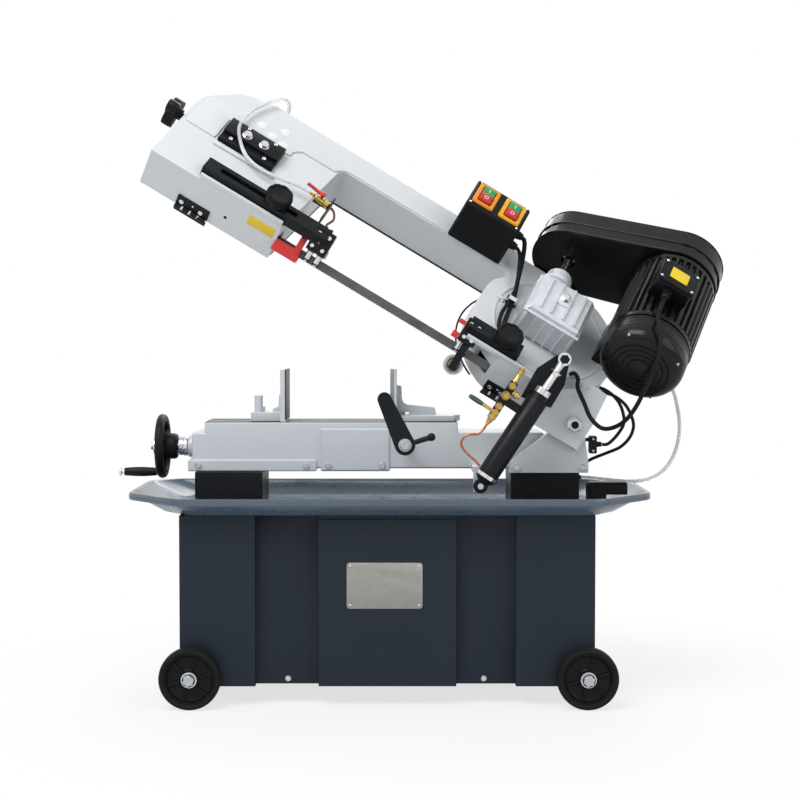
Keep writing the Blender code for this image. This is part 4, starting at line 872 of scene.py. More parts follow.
def build_cover_hinges():
    """Black hinge leaves screwed to the bow's lower wall and sleeves on the cover's knuckles."""
    for side, x, length in (("left", -960.0, 76.0), ("right", -205.0, 57.0)):
        leaf = slab(rectangle((x, -46.5), (x + length, -19), 2, 3),
                    [(0.4, -155.2), (0, -154.8), (0, -152.2), (0.4, -151.9)], BOW, "XZ")
        mesh_piece(side + "_hinge_leaf", [leaf], LOOKS["black"], "arm")
        screws = [part for at in (x + 12, x + length - 18)
                  for part in socket_head((at, -155.0, -33), DOWN_THE_FACE, 5.4, 2.6, BOW)]
        screws += socket_head((x + length / 2, -155.0, -29), DOWN_THE_FACE, 2.4, 1.4, BOW)
        mesh_piece(side + "_hinge_screws", screws, LOOKS["chrome"], "arm")
        sleeves = [turned([(4.3, 0), (5.3, 0.4), (5.3, 14.6), (4.3, 15)],
                          (x + 1 + 19 * i, -157.5, -47.45), (1, 0, 0),
                          BOW, 20) for i in range(round(length / 19))]
        flap = block((x, -156.5, -62), (x + length, -153.5, -50), BOW, 0.8, 1.4)
        mesh_piece(side + "_hinge_sleeves", [*sleeves, flap], LOOKS["black"], "rear_cover")


def build_door_edge_strip():
    """A thin black strip along the door's edge in the bow's throat: a round section swept along that edge."""
    t = np.radians(np.linspace(142.7, 238, 24))
    edge = np.vstack(((-734.6, -140), (-706, 99), (-286.5, 99),
                      np.stack((-154 + 166 * np.cos(t), 166 * np.sin(t)), 1)))
    run = np.concatenate(([0], np.cumsum(np.linalg.norm(np.diff(edge, axis=0), axis=1))))
    even = np.linspace(0, run[-1], 200)
    route = np.stack((np.interp(even, run, edge[:, 0]), np.interp(even, run, edge[:, 1]),
                      np.full(200, -46.6)), 1)
    mesh_piece("door_edge_strip", [swept(put(BOW, route), 2.0 * MM, 10)], LOOKS["rubber"], "rear_cover",
               60)


def build_films():
    """Plain films where the machine carries notices: one colour each, with nothing on them."""
    spots = [slab(arc((x, a), 11, 0, 345, 24), [(0.3, 51.9), (0, 52.0), (0, 52.2), (0.3, 52.3)], BOW)
             for x, a in ((-900, 88), (-868, 74), (-850, 106), (-838, 66))]
    mesh_piece("face_films", spots, LOOKS["sticker"], "arm")
    films = {"lower_wall_film": (rectangle((-806, 8), (-744, 34), 1.5, 3),
                                 [(0.2, -152.6), (0, -152.5), (0, -152.2), (0.2, -152.0)], "XZ",
                                 "yellow_film")}
    for name, (outline, steps, plane, look) in films.items():
        mesh_piece(name, [slab(outline, steps, BOW, plane)], LOOKS[look], "arm")
    hole = turned([(0, 0), (3.6, 0), (3.6, 0.5), (0, 0.5)], (-851, -152.1, -10), DOWN_THE_FACE, BOW, 20)
    mesh_piece("wall_hole", [hole], LOOKS["dark"], "arm")


def build_tension_bracket():
    """The tension block's raised bar and lip with two large and four small screws, and the lobed hand knob."""
    shapes = [block((-955.5, -2, 57.6), (-823.5, 44.6, 67), BOW, 1.6, 2),
              block((-955.5, -24.6, 57.6), (-823.5, -20, 62), BOW, 1.0, 1)]
    mesh_piece("tension_bar", shapes, LOOKS["black"], "tension_block")
    heads = [part for x in (-907, -866) for part in hex_head((x, 16, 67.2), OUT_OF_FACE, 17, 8, BOW, 0.3)]
    heads += [part for x in (-932, -850) for part in socket_head((x, -12, 58), OUT_OF_FACE, 4.6, 4.5, BOW)]
    heads += [part for x in (-912, -847) for part in socket_head((x, 36, 67), OUT_OF_FACE, 4.2, 4, BOW)]
    mesh_piece("tension_screws", heads, LOOKS["chrome"], "tension_block")
    t = np.linspace(0, 2 * math.pi, 72, endpoint=False)
    lobe = 27 + 9 * np.cos(3 * t)
    outline = np.stack((lobe * np.cos(t), 34 + lobe * np.sin(t)), 1)
    knob = slab(outline, [(7, -1084.4), (3.5, -1083.6), (1.2, -1082), (0, -1079), (0, -1067), (1.2, -1063.5),
                          (3.5, -1061.4), (7, -1060.4)], BOW, "YZ")
    hub = turned([(6.2, 0), (12.2, 0), (12.2, 6), (14.5, 9.6), (6.2, 9.6)], (-1051.2, 0, 34),
                 (-1, 0, 0), BOW, 32)
    mesh_piece("tension_hand_knob", [knob, hub], LOOKS["plastic"], "tension_handle", 50)


def build_blade_guides():
    """The guide heads' screws and chromed roller sleeves, and two scalloped locking knobs with dished tops."""
    for side, head, stud, body in (("left", (-672, -628), -770, "left_blade_guide"),
                                   ("right", (-306, -268), -216, "right_blade_guide")):
        sleeves = [turned([(5.9, 0), (6.72, 0.4), (6.72, 17.6), (5.9, 18)], (x, middle, 8),
                          OUT_OF_FACE, ARM, 24)
                   for x in (head[0] + 11, head[1] - 11) for middle in (-122.64, -107.94)]
        caps = [turned([(0, 0), (4.4, 0), (4.4, 2.2), (3.4, 3), (0, 3)], (x, middle, 5), (0, 0, -1), ARM, 20)
                for x in (head[0] + 11, head[1] - 11) for middle in (-122.64, -107.94)]
        screws = [part for x in (head[0] + 10, head[1] - 10) for z in (38, 68)
                  for part in socket_head((x, -158, z), DOWN_THE_FACE, 4.4, 4, ARM)]
        mesh_piece(side + "_guide_rollers", sleeves + caps, LOOKS["chrome"], body)
        mesh_piece(side + "_guide_screws", screws, LOOKS["chrome"], body)
        t = np.linspace(0, 2 * math.pi, 96, endpoint=False)
        radius = 27.2 + 1.8 * np.abs(np.cos(4 * t)) ** 0.5
        outline = np.stack((stud + radius * np.cos(t), -125 + radius * np.sin(t)), 1)
        disc = slab(outline, [(4, 83.6), (0.8, 84.8), (0, 87), (0, 99.5), (1.0, 103), (2.4, 105),
                              (4.4, 105.1),
                              (5.6, 104), (6.6, 101.6), (9, 100.8)], BOW)
        neck = turned([(0, 0), (14.2, 0), (14.2, 10.5), (0, 10.5)], (stud, -125, 75.3), OUT_OF_FACE, BOW, 32)
        mesh_piece(side + "_lock_knob", [disc, neck], LOOKS["plastic"], side + "_lock_knob",
                   45,
                   (side + "_guide_knob",))
    guard = slab(np.array(((-130, -12), (-101, -12), (-101, 14), (-104, 14), (-104, -8), (-127, -8),
                           (-127, 14),
                           (-130, 14)), float), [(0.4, -736), (0, -735.5), (0, -677.5),
                                                 (0.4, -677)], ARM, "YZ")
    strap = [block((-692, -133, 6), (-678, -130, 52), ARM, 1.0, 1),
             block((-692, -133, 44), (-668, -130, 56), ARM, 1, 1)]
    mesh_piece("band_guard", [guard], LOOKS["red"], "arm")
    mesh_piece("band_guard_strap", strap, LOOKS["red"], "left_blade_guide")
    flag = [block((-322, -161, 26), (-307, -158.4, 40), ARM, 0.8, 1),
            block((-322, -161, 58), (-307, -158.4, 68), ARM, 0.8, 1)]
    mesh_piece("right_guard_flags", flag, LOOKS["red"], "right_blade_guide")


def band_sections():
    """Centres, outward and across directions round the band's loop in BOW: wheels, twists and guide run."""
    radius, guides, lean = 140.45, (-250.0, -675.0), math.radians(45)
    drive, idler = DRIVE_X, -884.0
    right = np.linspace(math.pi / 2, -math.pi / 2, 37)
    left = np.linspace(-math.pi / 2, -1.5 * math.pi, 37)
    share = np.linspace(0, 1, 9)[1:-1]
    rows = [(drive + radius * math.cos(a), radius * math.sin(a), a, 0) for a in right]
    rows += [(drive + (guides[0] - drive) * s, -radius, -math.pi / 2, -lean * s) for s in share]
    rows += [(x, -radius, -math.pi / 2, -lean) for x in guides]
    rows += [(guides[1] + (idler - guides[1]) * s, -radius, -math.pi / 2, -lean * (1 - s)) for s in share]
    rows += [(idler + radius * math.cos(a), radius * math.sin(a), a, 0) for a in left]
    x, a, angle, twist = np.array(rows).T
    outward = np.stack((np.cos(angle), np.sin(angle) * np.cos(twist), np.sin(angle) * np.sin(twist)), 1)
    across = np.stack((np.zeros(len(x)), -np.sin(twist), np.cos(twist)), 1)
    return np.stack((x, a, np.zeros(len(x))), 1), outward, across


def build_saw_band(teeth):
    """The toothed band: its section, 0.9 by 20 mm, carried round the loop, the toothed edge a saw-tooth wave.

    Rings stand at every tooth's root, gullet and tip; the tip reaches the full 20 mm and the gullet
    2.2 mm less. Points between the loop's sections are straight blends of their neighbours.
    """
    centre, outward, across = band_sections()
    run = np.concatenate(([0], np.cumsum(np.linalg.norm(np.diff(centre, axis=0), axis=1))))
    total = run[-1] + np.linalg.norm(centre[0] - centre[-1])
    tooth = np.arange(teeth)[:, None] + np.array((0.0, 0.62, 0.97))
    place = (tooth * total / teeth).ravel()
    depth = np.tile((2.2, 1.4, 0.0), teeth)

    def between(values):
        return np.stack([np.interp(place, [*run, total], [*values[:, i], values[0, i]]) for i in range(3)], 1)

    middle, out, wide = between(centre), between(outward), between(across)
    side = np.array((0.45, 0.45, -0.45, -0.45))[None, :, None]
    edge = np.stack((np.full(len(place), 10.0), -10 + depth, -10 + depth,
                     np.full(len(place), 10.0)), 1)[:, :, None]
    rings = middle[:, None] + out[:, None] * side + wide[:, None] * edge
    shape = lofted(put(BOW, rings.reshape(-1, 3)).reshape(rings.shape), loop=True)
    mesh_piece("toothed_band", [shape], LOOKS["blade"], "arm", 30, ("saw_blade",))


def build_chip_brush():
    """A wire brush: rows of fine bristles standing out of a hub, in three leaning rings."""
    at = np.array((-284.0, -120.0, -23.0))
    hub = turned([(4.4, -9), (9, -9), (10.5, -7), (10.5, 7), (9, 9), (4.4, 9)], at, (0, 1, 0), ARM, 32)
    bristles = []
    for row, height in enumerate((-4.5, -1.5, 1.5, 4.5)):
        t = np.radians(np.arange(0, 360, 9) + 4.5 * (row % 2))
        for a in t:
            spoke = np.array((math.cos(a), 0, math.sin(a)))
            start, end = at + spoke * 9.5 + (0, height, 0), at + spoke * 21.6 + (0, height * 1.25, 0)
            bristles.append(turned([(0, 0), (0.55, 0), (0.4, 12), (0, 12.1)], start, end - start, ARM, 5))
    nut = hex_head(at + (0, -9.2, 0), (0, -1, 0), 9, 4, ARM, 0.2)
    mesh_piece("brush_bristles", bristles, LOOKS["bristle"], "brush", 60, ("chip_brush",))
    mesh_piece("brush_hub", [hub], LOOKS["brass"], "brush")
    mesh_piece("brush_nut", nut, LOOKS["chrome"], "brush")


def build_coolant_tap():
    """A brass ball valve with a red lever, on its thin bracket, and the brown line down to the blade."""
    start, end = np.array((-727.0, -38, 70)), np.array((-676.0, -44, 68))
    way = (end - start) / np.linalg.norm(end - start)
    body = turned([(0, 0), (3.2, 0), (3.2, 8), (4.6, 9), (3.4, 10), (4.6, 11), (3.4, 12), (4.6, 13),
                   (5.5, 15),
                   (5.5, 18), (7.6, 20), (7.6, 33), (5.5, 35), (5.5, 38), (8, 39), (8, 47), (5, 49), (0, 49)],
                  start, way, BOW, 32)
    stem = turned([(0, 0), (4.4, 0), (4.4, 11), (3.2, 12), (0, 12)], start + way * 26 + (0, 0, 5),
                  OUT_OF_FACE, BOW, 24)
    mesh_piece("tap_body", [body, stem], LOOKS["brass"], "arm", 40)
    top = start + way * 26 + (0, 0, 17.4)
    lever = np.array([top, top + (-12, -1, 1.5), top + (-24, -2, 5), top + (-38, -3, 8)])
    handle = swept(put(BOW, smooth_path(lever, 3)), 3.8 * MM, 14)
    knob = turned([(0, -1), (6.4, -1), (6.4, 2.6), (5.4, 3.6), (0, 3.6)], top, OUT_OF_FACE, BOW, 24)
    mesh_piece("tap_lever", [handle, knob], LOOKS["red"], "arm", 50)
    bracket = block((-677.5, -100, 50), (-674.5, -24, 80), BOW, 0.8, 1)
    foot = block((-716, -36, 48.4), (-674.5, -24, 52), BOW, 0.8, 1)
    mesh_piece("tap_bracket", [bracket, foot], LOOKS["black"], "arm")
    tail = [end + way * 4, end + way * 14 + (0, -6, 0), (-655, -66, 62), (-660, -92, 64), (-652, -112, 66),
            (-655, -134, 62), (-652, -146, 56)]
    mesh_piece("brown_line", [swept(put(BOW, smooth_path(tail, 3)), 2.6 * MM, 12)], LOOKS["brown"], "arm",
               60)
    nut = hex_head((-650, -140, 79.4), (0, 0, 1), 13, 8, ARM, 0.2)
    mesh_piece("line_nut", nut, LOOKS["chrome"], "left_blade_guide")


# ------------------------------------------------------------------ drive

def build_gearbox_details():
    """Lid bolts, a sight plug, side fins and the worm's bearing cap on the sand-cast gear case."""
    fins = [block((x, -61.5, 54), (x + 4.4, -54, 117), BOW, 1.2, 1.4) for x in np.linspace(-211, -101, 6)]
    ends = [block((-221, a, 54), (-214, a + 4.4, 117), BOW, 1.2, 1.4) for a in (-46, -16, 14, 44)]
    ring = turned([(28.2, 0), (33, 0), (34, 1), (34, 9), (33, 10), (28.2, 10)], (-180, 66, 103),
                  UP_THE_FACE, BOW, 56)
    boss = turned([(0, 0), (21, 0), (21, 3), (19, 4.4), (0, 4.4)], (-154, 10, 136.8), OUT_OF_FACE, BOW, 48)
    mesh_piece("gearcase_fins", [*fins, *ends, ring, boss], LOOKS["aluminium"], "arm", 40)
    heads = [part for x in (-211, -97) for a in (-52, 53)
             for part in socket_head((x, a, 124), OUT_OF_FACE, 5, 5, BOW)]
    heads += hex_head((-205, 10, 124.2), OUT_OF_FACE, 11, 5, BOW, 0.2)
    heads += hex_head((-154, 10, 141.4), OUT_OF_FACE, 17, 6, BOW, 0.5)
    heads += [part for x, n in ((-204, 79), (-204, 127), (-156, 127), (-156, 79))
              for part in socket_head((x, 76, n), UP_THE_FACE, 3, 3, BOW)]
    mesh_piece("gearcase_bolts", heads, LOOKS["chrome"], "arm")


def build_motor(fins):
    """The finned motor: its frame's outline is r = 83.5 + 6.3 wave(t); end bells, fan cover and feet.

    wave(t) is a cosine with one period to a fin, steepened by 1.7, clipped to +-1 and moved to 0..1.
    """
    x, n = 37.0, 198.0
    t = np.linspace(0, 2 * math.pi, 480, endpoint=False)
    wave = np.clip(np.cos(fins * t) * 1.7, -1, 1) * 0.5 + 0.5
    radius = 83.5 + 6.3 * wave
    outline = np.stack((x + radius * np.cos(t), n + radius * np.sin(t)), 1)
    body = slab(outline, [(1.5, -46), (0, -44), (0, 146), (1.5, 148)], BOW, "XZ")
    drive_end = turned([(10.4, 0), (66, 0), (86, 1), (88.6, 3), (88.6, 11), (86, 13), (58, 15),
                        (55, 19), (10.4, 19)],
                       (x, 143.2, n), UP_THE_FACE, BOW, 72)
    cover = turned([(0, 124), (64, 124), (74, 121.5), (82, 115), (86.5, 106), (87.6, 98),
                    (87.6, 93), (86.6, 92),
                    (86.6, 90), (87.6, 89), (87.6, 68), (86.6, 67), (86.6, 65), (87.6, 64),
                    (87.6, 60), (85, 58),
                    (85, 55), (88.2, 54), (88.2, 44), (0, 44)], (x, 0, n), DOWN_THE_FACE, BOW, 72)
    mount = block((-36, -10, 48.7), (76, 95, 125), BOW, 2, 3)
    feet = [block((fx, -59, 112.2), (fx + 13.6, 129, 124.8), BOW, 1.6, 2) for fx in (-14, 74)]
    box_base = block((-27, 4, 272), (55, 66, 321), BOW, 2.5, 5)
    mesh_piece("motor_body", [body, drive_end, mount, *feet, box_base], LOOKS["gloss_black"], "arm",
               35,
               ("motor",))
    mesh_piece("motor_fan_cover", [cover], LOOKS["gloss_black"], "arm", 30)
    lid = block((-28.2, 2.8, 321.6), (56.2, 67.2, 328), BOW, 2.2, 6)
    gland = turned([(0, -2), (10.5, -2), (10.5, 4), (9, 5), (9, 14), (8, 18), (6.4, 20), (0, 20)],
                   (8, 4, 300),
                   DOWN_THE_FACE, BOW, 28)
    mesh_piece("terminal_lid", [lid, gland], LOOKS["plastic"], "arm", 40)
    screws = [part for sx in (-21, 49) for a in (10, 60)
              for part in socket_head((sx, a, 328), OUT_OF_FACE, 3, 2, BOW)]
    for turn in np.radians((45, 135, 225, 315)):
        screws += hex_head((x + 76 * math.cos(turn), 157, n + 76 * math.sin(turn)), UP_THE_FACE, 9, 4, BOW)
        screws += socket_head((x + 80 * math.cos(turn), -122.6 + 9, n + 80 * math.sin(turn)),
                              DOWN_THE_FACE, 3, 4, BOW)
    mesh_piece("motor_screws", screws, LOOKS["chrome"], "arm")
    angles = np.radians(np.linspace(262, 300, 12))
    rim = [np.stack((x + r * np.cos(angles), n + r * np.sin(angles)), 1) for r in (87.5, 88.2)]
    patch = np.vstack((rim[1], rim[0][::-1]))
    film = slab(patch, [(0, -88), (0, -69)], BOW, "XZ")
    mesh_piece("motor_film", [film], LOOKS["sticker"], "arm")
    lid_film = slab(rectangle((-6, 20), (34, 52), 2, 3),
                    [(0.2, 328.0), (0, 328.1), (0, 328.4), (0.2, 328.5)], BOW)
    mesh_piece("terminal_film", [lid_film], LOOKS["yellow_film"], "arm")
    slots = []
    for radius_mm in (22, 34, 46, 58):
        slots.append(turned([(radius_mm, -0.6), (radius_mm + 4.4, -0.6), (radius_mm + 4.4, 0.25),
                             (radius_mm, 0.25)],
                            (x, -124.1, n), DOWN_THE_FACE, BOW, 64))
    mesh_piece("fan_cover_slots", slots, LOOKS["dark"], "arm")


def guard_outline(radii):
    """The outline round both pulleys: two arcs joined by their common tangents, anticlockwise."""
    (x0, n0), (x1, n1) = (-180.0, 103.0), (37.0, 198.0)
    along = math.degrees(math.atan2(n1 - n0, x1 - x0))
    lean = math.degrees(math.acos((radii[0] - radii[1]) / math.hypot(x1 - x0, n1 - n0)))
    first = arc((x0, n0), radii[0], along + lean, along + 360 - lean, 40)
    second = arc((x1, n1), radii[1], along - lean, along + lean, 40)
    return np.vstack((first, second))


def build_guard_details():
    """Rolled rims round the belt guard's mouth and split, with its lid screws."""
    for name, a, small, large, body in (("guard_rim", 165.2, 80.6, 88.6, "arm"),
                                        ("guard_lid_rim", 197.4, 80.6, 88.6, "guard_lid"),
                                        ("guard_face_rim", 241.2, 78.6, 86.6, "guard_lid")):
        loop = guard_outline((small, large))
        path = put(BOW, in_plane(loop, a, "XZ"))
        mesh_piece(name, [swept(path, 1.9 * MM, 10, loop=True)], LOOKS["gloss_black"], body,
                   60)
    (x0, n0), (x1, n1) = (-180.0, 103.0), (37.0, 198.0)
    heads = [part for x, n in ((x0 - 40, n0 - 20), (x1 + 42, n1 + 22), ((x0 + x1) / 2, (n0 + n1) / 2))
             for part in hex_head((x, 243.2, n), UP_THE_FACE, 13, 6, BOW, 0.3)]
    mesh_piece("guard_lid_screws", heads, LOOKS["chrome"], "guard_lid")


# ------------------------------------------------------------------ controls and feed

def build_switches():
    """Two switch blocks: a yellow frame round a square green cap and a red one, and the box's cable glands."""
    for number, x, look in (("1", -404.0, "orange"), ("2", -340.0, "yellow")):
        frame_out = rectangle((x - 25, 105), (x + 25, 169), 5, 4)
        frame_in = rectangle((x - 15, 110.8), (x + 15, 163.2), 2, 4)
        rings = np.array([np.column_stack((loop, np.full(len(loop), n))) for loop, n in (
            (frame_out, 159.8), (frame_out, 164), (inset(frame_out, 2), 166.4),
            (inset(frame_in, -1.4), 166.4),
            (frame_in, 165), (frame_in, 159.8))])
        shape = lofted(put(BOW, rings.reshape(-1, 3)).reshape(rings.shape), loop=True)
        mesh_piece("switch_frame_" + number, [shape], LOOKS[look], "arm", 40)
        for kind, a, cap_look in (("start", 150.0, "green_plastic"), ("stop", 124.0, "red_plastic")):
            low, high = (137.8, 162.2) if kind == "start" else (112, 136.2)
            top = 168.6 if kind == "start" else 171.6
            cap = block((x - 13.8, low, 163.4), (x + 13.8, high, top), BOW, 1.6, 2)
            stem = turned([(0, 148), (8, 148), (8, 161), (0, 161)], (x, a, 0), OUT_OF_FACE, BOW, 20)
            mesh_piece(f"{kind}_cap_{number}", [cap, stem], LOOKS[cap_look], f"{kind}_{number}",
                       40, (f"{kind}_button_{number}",))
        mark = [block((x - 1, 145, 168.5), (x + 1, 155, 168.9), BOW, 0.15)]
        mesh_piece("start_mark_" + number, mark, LOOKS["sticker"], "start_" + number)
        circle = turned([(3.4, 0), (4.8, 0), (4.8, 0.4), (3.4, 0.4)], (x, 124, 171.5), OUT_OF_FACE, BOW, 28)
        mesh_piece("stop_mark_" + number, [circle], LOOKS["sticker"], "stop_" + number)
    screws = [part for x in (-429, -316) for a in (100.5, 174.5)
              for part in socket_head((x, a, 160), OUT_OF_FACE, 2.6,
                                                                                          1.6, BOW)]
    mesh_piece("control_box_screws", screws, LOOKS["chrome"], "arm")
    glands = [turned([(0, 0), (9.5, 0), (9.5, 7), (8, 8.4), (8, 12), (6.4, 15), (0, 15)],
                     (-307.2, a, n), (1, 0, 0), BOW,
                     28) for a, n in ((157, 100), (128, 92))]
    mesh_piece("box_glands", glands, LOOKS["plastic"], "arm", 40)


def build_cable_bundle():
    """The second cable beside the control cable, with the chromed clip that holds both to the bow."""
    route = [(-292, 128, 92), (-278, 118, 88), (-262, 84, 74), (-250, 44, 66), (-249, 0, 62), (-251, -44, 60),
             (-242, -84, 60), (-226, -96, 60)]
    mesh_piece("second_cable", [swept(put(BOW, smooth_path(route, 6)), 4.2 * MM, 14)], LOOKS["rubber"], "arm",
               60)
    loop = rectangle((-259, 50.6), (-229, 70), 8, 5)
    rings = np.array([np.column_stack((inset(loop, d), np.full(len(loop), h)))
                      for d, h in ((0, -6), (0, 6), (1.4, 6), (1.4, -6))])
    turned_frame = frame_of(put(BOW, (0, 6, 0)), BOW[:3, 0], BOW[:3, 2], -BOW[:3, 1])
    band = lofted(put(turned_frame, rings.reshape(-1, 3)).reshape(rings.shape), loop=True)
    ear = block((-276, 1, 48.4), (-257, 12, 50.6), BOW, 0.7, 3)
    mesh_piece("cable_clip", [band, ear, *hex_head((-269, 6.5, 50.8), OUT_OF_FACE, 8, 3.4, BOW)],
               LOOKS["chrome"], "arm",
               40)


def build_feed_details():
    """Cylinder nuts, the brass needle-valve train with its copper line, and the green-gripped lever."""
    gland = turned([(12.8, 0), (16.8, 0), (16.8, 12), (15, 14), (12.8, 14)], (0, 0, 226.3),
                   OUT_OF_FACE, FEED, 40)
    base = turned([(22.7, 0), (24.2, 0.6), (24.2, 8), (22.7, 8.6)], (0, 0, 20), OUT_OF_FACE, FEED, 48)
    mesh_piece("cylinder_gland", [gland, base], LOOKS["chrome"], "cylinder", 40)
    at = np.array((-59.5, -8.2, 0.0))
    train = []
    for z, size in ((132, 13), (158, 12), (184, 14), (208, 12)):
        train += hex_head(at + (0, 0, z), DOWN_THE_FACE, size, 11, FEED, 0.3)
    train += [turned([(0, 0), (6, 0), (6, 5), (4.6, 7), (4.6, 20), (6.4, 21), (6.4, 27), (3.4, 29),
                      (3.4, 36), (0, 36)],
                     (-59.5, 0, 216.8), OUT_OF_FACE, FEED, 24),
              turned([(0, 0), (5, 0), (5, 4), (6.8, 5), (6.8, 12), (4, 13), (4, 18), (0, 18)],
                     (-51, 0, 196), (1, 0, 0),
                     FEED, 24),
              turned([(0, 0), (6, 0), (6, 9), (4, 10), (4, 14), (0, 14)], (-59.5, 0, 128.2),
                     (0, 0, -1), FEED, 24)]
    mesh_piece("valve_train", train, LOOKS["brass"], "cylinder", 35)
    line = [(-59.5, 0, 116), (-59.5, 0, 100), (-64, -2, 86), (-76, -4, 78), (-84, -4, 66),
            (-82, -4, 52), (-70, -2, 44),
            (-54, 0, 40), (-38, 0, 38), (-24, 0, 34)]
    mesh_piece("copper_line", [swept(put(FEED, smooth_path(line, 2.5)), 2.4 * MM, 14)],
               LOOKS["copper"], "cylinder",
               60)
    body = turned([(0, 0), (7, 0), (7, 10.2), (5.6, 11), (0, 11)], (-59.5, -19.3, 143.5),
                  UP_THE_FACE, FEED, 24)
    arm_bar = block((-96, -17.8, 139.6), (-54, -13, 147.4), FEED, 1, 1.5)
    run = np.linspace(0, 1, 12)
    grip = swept(put(FEED, np.stack((-90 - 33 * run, np.full(12, -15.3), np.full(12, 143.5)), 1)),
                 (3.8 + 1.6 * np.sin(math.pi * run) ** 0.6) * MM, 18)
    mesh_piece("valve_lever", [body, arm_bar], LOOKS["brass"], "valve_lever", 40,
               ("feed_valve_lever",))
    mesh_piece("valve_lever_grip", [grip], LOOKS["green_grip"], "valve_lever", 60)
    eye = turned([(8.2, 0), (12.6, 0), (12.6, 9), (11.6, 10), (8.2, 10)],
                 (0, 0, float(FEED_LENGTH) - 40), OUT_OF_FACE,
                 FEED, 6)
    mesh_piece("rod_lock_nut", [eye], LOOKS["chrome"], "piston_rod", 25)


FEED_LENGTH = np.linalg.norm(joint_place("piston_rod_swing") - joint_place("cylinder_swing")) / MM


def build_rear_details():
    """The rear cover's pressed ribs and its turn-lock knobs."""
    for name, x, a in (("lock_left", -884.0, 0.0), ("lock_right", DRIVE_X, 0.0)):
        knob = turned([(0, 0), (15, 0), (16, 1.5), (16, 9), (13, 13), (0, 14)], (x, a, -51.6),
                      (0, 0, -1), BOW, 36)
        wing = block((x - 4, a - 20, -66), (x + 4, a + 20, -62), BOW, 1.6, 2)
        mesh_piece(name, [knob, wing], LOOKS["plastic"], "rear_cover", 40)
    ribs = [block((x, 108, -51.4), (x + 60, 118, -49.2), BOW, 1.0, 4) for x in (-640, -560, -480, -400)]
    mesh_piece("cover_ribs", ribs, LOOKS["enamel"], "rear_cover", 40)


# ------------------------------------------------------------------ settings

def colour_setting(code, name, description):
    return FloatVectorProperty(name=name, description=description, subtype="COLOR", min=0.0, max=1.0,
                               default=linear(code)[:3])


class BandSawColours(bpy.types.PropertyGroup):
    """Paint colours of the machine."""
    enamel: colour_setting("#C8CCCF", "Bow enamel", "Pale enamel on the bow and its cover")
    bed_enamel: colour_setting("#BBC0C4", "Bed enamel", "Pale enamel on the bed and the vise")
    cabinet: colour_setting("#222932", "Cabinet", "Powder coat on the cabinet")
    tray: colour_setting("#435361", "Tray", "Enamel on the chip tray")
    motor: colour_setting("#0E0F10", "Motor", "Gloss enamel on the motor and the belt guard")


class BandSawSizes(bpy.types.PropertyGroup):
    """Sizes that can change without touching the machine's joints."""
    lens: FloatProperty(name="Lens", description="Focal length of the studio camera", default=72.0, min=20.0,
                        max=200.0, unit="CAMERA")
    brightness: FloatProperty(name="Brightness", description="Strength of every lamp and the surround",
                              default=1.0, min=0.1, max=4.0)
    teeth: IntProperty(name="Teeth", description="Number of teeth round the band", default=388, min=100,
                       max=800)
    fins: IntProperty(name="Motor fins", description="Number of cooling fins round the motor", default=36,
                      min=12, max=60)


# ------------------------------------------------------------------ operators

class BANDSAW_OT_finishes(bpy.types.Operator):
    """Make every material from the colour settings"""
    bl_idname = "band_saw.finishes"
    bl_label = "Finishes"

    def execute(self, context):
        make_looks(context.scene.band_saw_colours)
        return {"FINISHED"}


class BANDSAW_OT_stage(bpy.types.Operator):
    """Place the camera, the white floor and surround and the soft lamps"""
    bl_idname = "band_saw.stage"
    bl_label = "Studio and Camera"

    def execute(self, context):
        sizes = context.scene.band_saw_sizes
        build_camera(sizes.lens)
        build_studio(sizes.brightness)
        return {"FINISHED"}


class BANDSAW_OT_cords(bpy.types.Operator):
    """Build the two hoses and the four cables that follow their routes"""
    bl_idname = "band_saw.cords"
    bl_label = "Hoses and Cables"

    def execute(self, context):
        build_cords()
        return {"FINISHED"}


class BANDSAW_OT_transport_wheels(bpy.types.Operator):
    """Build the four tyres with their ribbed hubs and nuts"""
    bl_idname = "band_saw.transport_wheels"
    bl_label = "Transport Wheels"

    def execute(self, context):
        build_transport_wheels()
        return {"FINISHED"}


class BANDSAW_OT_cabinet(bpy.types.Operator):
    """Build the name plate, its rivets and the cabinet bolts"""
    bl_idname = "band_saw.cabinet"
    bl_label = "Cabinet Details"

    def execute(self, context):
        build_stand_details()
        return {"FINISHED"}


class BANDSAW_OT_tray(bpy.types.Operator):
    """Build the pressed chip tray"""
    bl_idname = "band_saw.tray"
    bl_label = "Chip Tray"

    def execute(self, context):
        build_tray()
        return {"FINISHED"}


class BANDSAW_OT_bed(bpy.types.Operator):
    """Build the ground table, the jaw plates and their bolts"""
    bl_idname = "band_saw.bed"
    bl_label = "Bed and Vise"

    def execute(self, context):
        build_bed_details()
        return {"FINISHED"}


class BANDSAW_OT_handwheel(bpy.types.Operator):
    """Build the vise handwheel and its crank grip"""
    bl_idname = "band_saw.handwheel"
    bl_label = "Handwheel"

    def execute(self, context):
        build_handwheel()
        return {"FINISHED"}


class BANDSAW_OT_work_stop(bpy.types.Operator):
    """Build the work stop lever fittings"""
    bl_idname = "band_saw.work_stop"
    bl_label = "Work Stop"

    def execute(self, context):
        build_work_stop()
        return {"FINISHED"}


class BANDSAW_OT_pivot(bpy.types.Operator):
    """Build the pivot nut, its bracket bolts and the outlet lid"""
    bl_idname = "band_saw.pivot"
    bl_label = "Pivot Fittings"

    def execute(self, context):
        build_pivot_details()
        return {"FINISHED"}


class BANDSAW_OT_bow(bpy.types.Operator):
    """Build the raised pad, the ledges and the wheel ring of the bow"""
    bl_idname = "band_saw.bow"
    bl_label = "Bow Casting"

    def execute(self, context):
        build_bow_relief()
        return {"FINISHED"}


